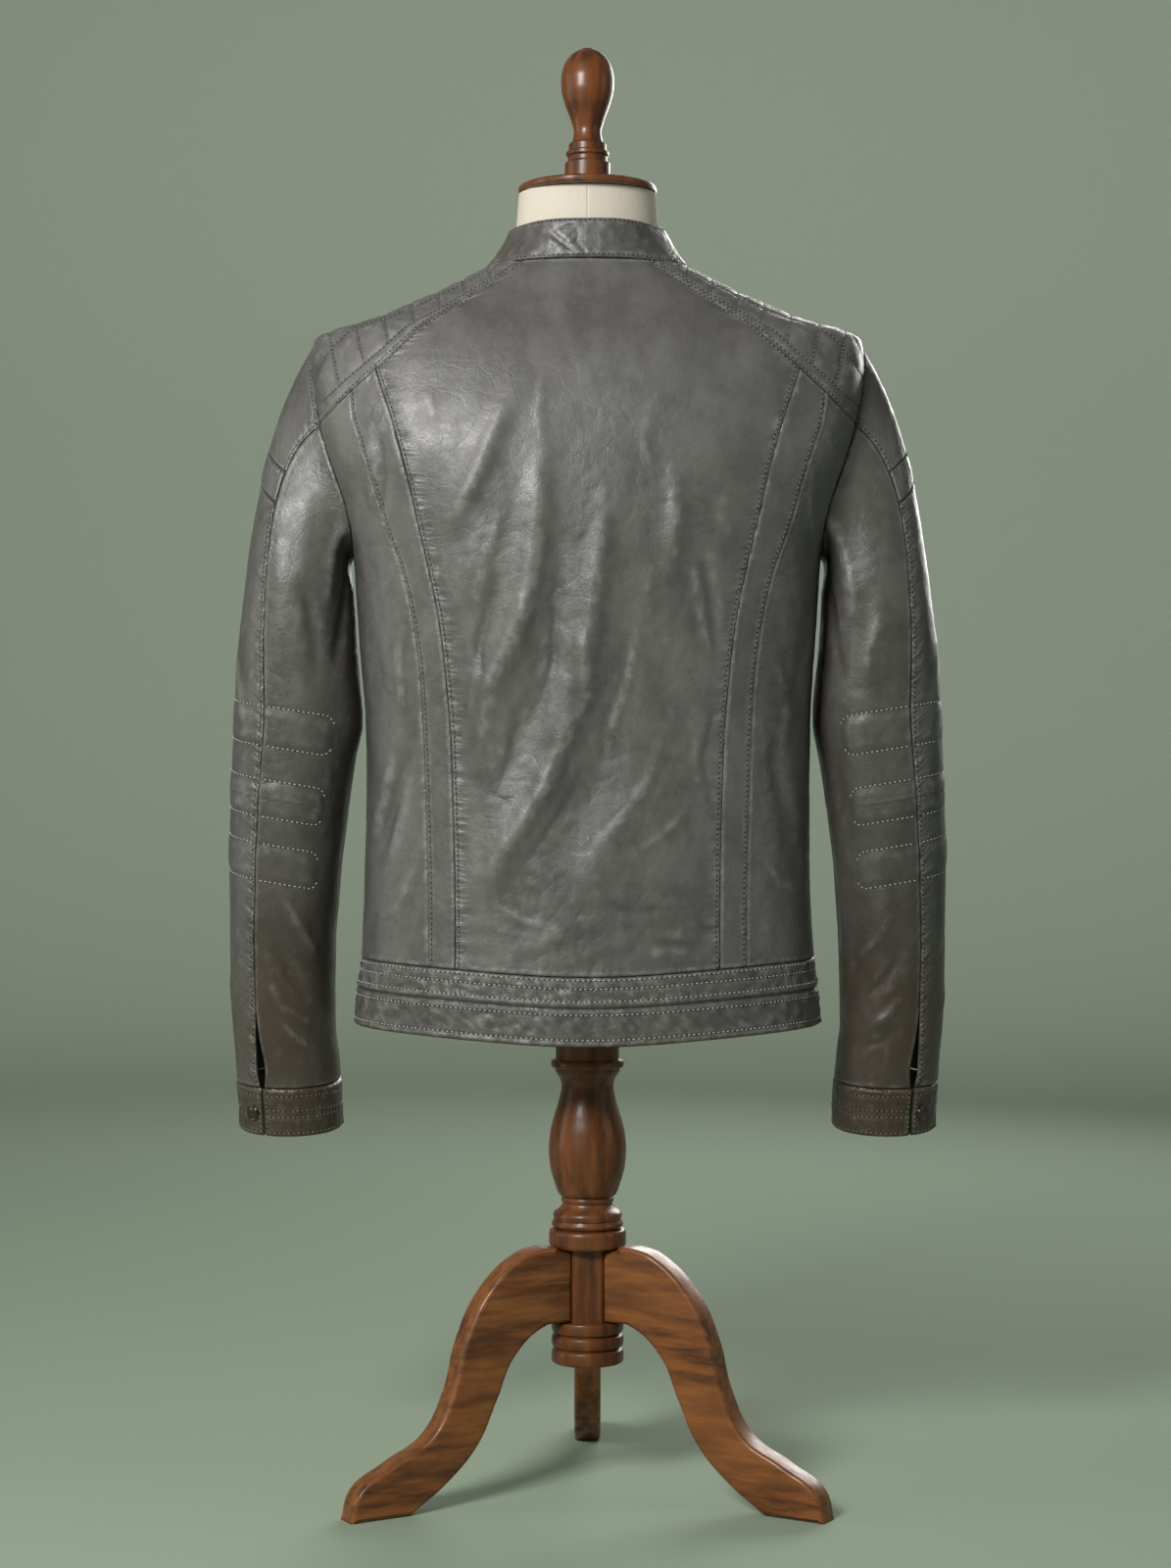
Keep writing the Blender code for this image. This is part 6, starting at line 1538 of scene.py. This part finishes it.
def build_form():
    """Padded torso and its neck, with a fine seam down the centre back."""
    half = np.concatenate([[0.002, 0.006, 0.012, 0.03], np.linspace(0.07, math.pi, 46)])
    phi = np.concatenate([-half[-2::-1], [0.0], half])
    s, c = np.sin(phi), np.cos(phi)
    distance = smooth(FORM_EASE, "distance")
    rings = []
    levels = np.concatenate([FORM_LEVELS[:2], np.linspace(0.418, 1.020, 44)])
    for z in levels:
        level = np.full(len(phi), z)
        normal = normal_of(section, phi, level, 1e-3, 2e-4)
        below = distance(z) + FORM_FRONT_EASE * ease(0.05, -0.4, c)
        points = section(phi, level) - normal * below[:, None]
        points[:, 2] = np.where(z < 0.4101, z, points[:, 2])
        rings.append(points)
    rings[0][:, :2] *= FORM_BASE_EDGE
    neck = {k: smooth(FORM_NECK, k) for k in ("half", "back", "front")}
    for z in np.linspace(FORM_NECK["z"][0], FORM_NECK["z"][-1], 30):
        deep = np.where(c >= 0, neck["back"](z), neck["front"](z))
        r = ((s / neck["half"](z)) ** 2 + (c / deep) ** 2) ** -0.5
        r = r - 0.45 * MM * bell(phi * 0.05, 0.5 * MM) + 0.25 * MM * bell(np.abs(phi) - 0.02, 0.015)
        rings.append(np.stack([r * s, r * c, np.full(len(phi), z)], -1))
    bm = bmesh.new()
    loops = [[bm.verts.new(p) for p in points] for points in rings]
    count = len(phi)
    for low, high in zip(loops, loops[1:]):
        for i in range(count):
            j = (i + 1) % count
            bm.faces.new((low[i], low[j], high[j], high[i]))
    bm.faces.new(loops[0])
    bm.faces.new(loops[-1])
    bmesh.ops.recalc_face_normals(bm, faces=bm.faces)
    mesh = bpy.data.meshes.new("form")
    bm.to_mesh(mesh)
    bm.free()
    mesh.shade_smooth()
    mesh.set_sharp_from_angle(angle=40 * DEG)
    made = put("form_body", mesh, LINEN, "form_torso", "linen")
    return made


def build_leg(name, azimuth):
    curve = bpy.data.curves.new(name, "CURVE")
    curve.dimensions = "2D"
    curve.fill_mode = "BOTH"
    curve.resolution_u = 14
    curve.bevel_depth = LEG_ROUND
    curve.bevel_resolution = 4
    curve.extrude = LEG_THICK / 2 - LEG_ROUND
    curve.offset = -LEG_ROUND
    spline = curve.splines.new("BEZIER")
    spline.bezier_points.add(len(LEG["r"]) - 1)
    for point, r, z, corner in zip(spline.bezier_points, *LEG.values()):
        point.co = (r, z, 0)
        point.handle_left_type = point.handle_right_type = "VECTOR" if corner else "AUTO"
    spline.use_cyclic_u = True
    put("turned_" + name, curve, WALNUT_LEG, name, "wood", rotation=(90 * DEG, 0, (90 - azimuth) * DEG))


build_form()
turned("turned_neck_cap", NECK_CAP, WALNUT_UP, 40, node="neck_cap")
turned("turned_finial", FINIAL, WALNUT_UP, 150, node="finial")
turned("turned_post", POST, WALNUT_UP, 170, node="stand_post")
turned("turned_hub", HUB, WALNUT_UP, 150, node="stand_hub")
bm = bmesh.new()
corner = HUB_FLAT / math.cos(30 * DEG)
bmesh.ops.create_cone(bm, cap_ends=True, segments=6, radius1=corner, radius2=corner,
                      depth=HUB_BLOCK[1] - HUB_BLOCK[0], matrix=Matrix.Rotation(30 * DEG, 4, "Z"))
bmesh.ops.bevel(bm, geom=bm.edges[:], offset=0.8 * MM, segments=3, affect="EDGES")
mesh = bpy.data.meshes.new("hub_block")
bm.to_mesh(mesh)
bm.free()
put("turned_hub_block", mesh, WALNUT_UP, None, "wood", location=(0, CENTRE_Y, sum(HUB_BLOCK) / 2))
for leg_name, leg_azimuth in LEG_AZIMUTHS.items():
    build_leg(leg_name, leg_azimuth)


# ---------------------------------------------------------------- metal
def zip_teeth():
    """Two rows of teeth that mesh along the centre front."""
    z = np.arange(HEM + 2 * MM, NECK["z"][-1] - 3 * MM, 1.5 * MM)
    grid = seam_at(np.full(len(z), ZIP_HALF), z, -1)
    points = body(grid[:, 0], grid[:, 1])
    out = unit(body_normal(grid[:, 0], grid[:, 1]) * np.array([0, 1, 1]))
    seat = points - out * (SEAM_GAP + CHAIN_WALL / 2)
    verts, faces = [], []
    for k, (p, n) in enumerate(zip(seat, out)):
        side = 1 if k % 2 else -1
        up = np.cross(n, (1.0, 0, 0))
        for x in (-0.9 * MM, 3.35 * MM):
            for a, b in ((-1, -1), (1, -1), (1, 1), (-1, 1)):
                wide = 0.62 * MM if x > 0 else 0.50 * MM
                verts.append((side * x, *(p + up * a * wide + n * b * 1.05 * MM)[1:]))
        first = 8 * k
        box = [(0, 1, 2, 3), (7, 6, 5, 4), (0, 4, 5, 1), (1, 5, 6, 2), (2, 6, 7, 3), (3, 7, 4, 0)]
        faces += [tuple(first + v for v in (face if side < 0 else face[::-1])) for face in box]
    mesh = mesh_of("teeth", verts, faces)
    put("zip_teeth", mesh, NICKEL, "zip_chain", "zip_metal")


zip_teeth()
points, normals = on_sleeve(np.array([SNAP_ANGLE]), np.array([v_level(SNAP_Z)]))
for side, name in ((1, "cuff_snap_left"), (-1, "cuff_snap_right")):
    flip = np.array([side, 1, 1])
    out = Vector(normals[0] * flip)
    where = points[0] * flip + (0, CENTRE_Y, 0)
    turned("cap_of_" + name, SNAP_CAP, GUNMETAL, 50, 40, node=name, slot_name="snap_metal",
           location=where, rotation=out.to_track_quat("Z", "Y").to_euler())

for name, finish in (("zip_tape_left", TAPE), ("zip_tape_right", TAPE), ("zip_slider", NICKEL),
                     ("zip_pull", NICKEL)):
    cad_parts[name].data.materials.clear()
    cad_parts[name].data.materials.append(finish)

# ---------------------------------------------------------------- stage, light and camera
SAGE = Finish("sage backdrop", 0.95)
# Painted light: the backdrop is paler with distance from the stand, to make up for the lamps' light falling
# off.
far_off = SAGE.add("ShaderNodeVectorMath", {0: SAGE.coordinates()}, operation="LENGTH").outputs["Value"]
SAGE.colour(SAGE.blend(SAGE.span(far_off, 0.8, 5.6), (0.270, 0.345, 0.255), (0.54, 0.62, 0.52)))
SAGE = SAGE.made
SWEEP = 1.6              # radius of the curve from the floor up to the wall
bend = [k * 7.5 * DEG for k in range(1, 13)]
profile = [(r, 0, 0) for r in (0.0, 1.0, 2.0, 3.0, 4.0)]
profile += [(4.0 + SWEEP * math.sin(q), 0, SWEEP - SWEEP * math.cos(q)) for q in bend]
profile += [(5.6, 0, 3.0), (5.6, 0, 4.5)]
mesh = mesh_of("backdrop", profile, edges=[(k, k + 1) for k in range(len(profile) - 1)])
backdrop = linked("backdrop", mesh)
mesh.materials.append(SAGE)
screw = backdrop.modifiers.new("turn", "SCREW")
screw.axis = "Z"
screw.steps = screw.render_steps = 96
screw.use_merge_vertices = True
screw.use_smooth_shade = True


def area_light(name, location, target, size, power, colour, spread=180):
    data = bpy.data.lights.new(name, "AREA")
    data.spread = spread * DEG
    data.shape = "RECTANGLE"
    data.size, data.size_y = size
    data.energy = power
    data.color = colour
    made = linked(name, data)
    made.location = location
    made.rotation_euler = (Vector(target) - Vector(location)).to_track_quat("-Z", "Y").to_euler()


WARM = (1.0, 0.985, 0.955)
for lamp in (
        ("key", (0.92, 1.70, 1.60), (0.0, 0.05, 0.75), (0.6, 0.6), 44.0, WARM),
        ("wall", (0, -2.4, 3.2), (0, -5.6, 1.5), (4.0, 1.6), 22.0, WARM, 150),
        ("fill", (-2.8, 1.0, 1.4), (0, 0, 0.6), (1.2, 2.0), 6.0, (1.0, 0.97, 0.95)),
        ("side", (3.0, 0.2, 1.2), (0, 0, 0.6), (1.0, 2.0), 14.0, (1.0, 0.98, 0.95)),
        ("front", (-1.2, -3.0, 1.8), (0, 0, 0.9), (2.4, 1.6), 31.0, (1.0, 0.98, 0.95), 110)):
    area_light(*lamp)
world = bpy.data.worlds.new("room")
world.use_nodes = True
world.node_tree.nodes["Background"].inputs["Color"].default_value = (0.92, 0.92, 0.92, 1.0)
world.node_tree.nodes["Background"].inputs["Strength"].default_value = 0.16
bpy.context.scene.world = world
bpy.context.scene.view_settings.view_transform = "Standard"

camera = bpy.data.cameras.new("camera")
camera.lens = 65.41
camera.sensor_width = 36.0
camera.clip_end = 50.0
eye = linked("camera", camera)
eye.location = (0.0017, 2.4700, 0.598)
eye.rotation_euler = (90 * DEG, 0, 180 * DEG)
bpy.context.scene.camera = eye
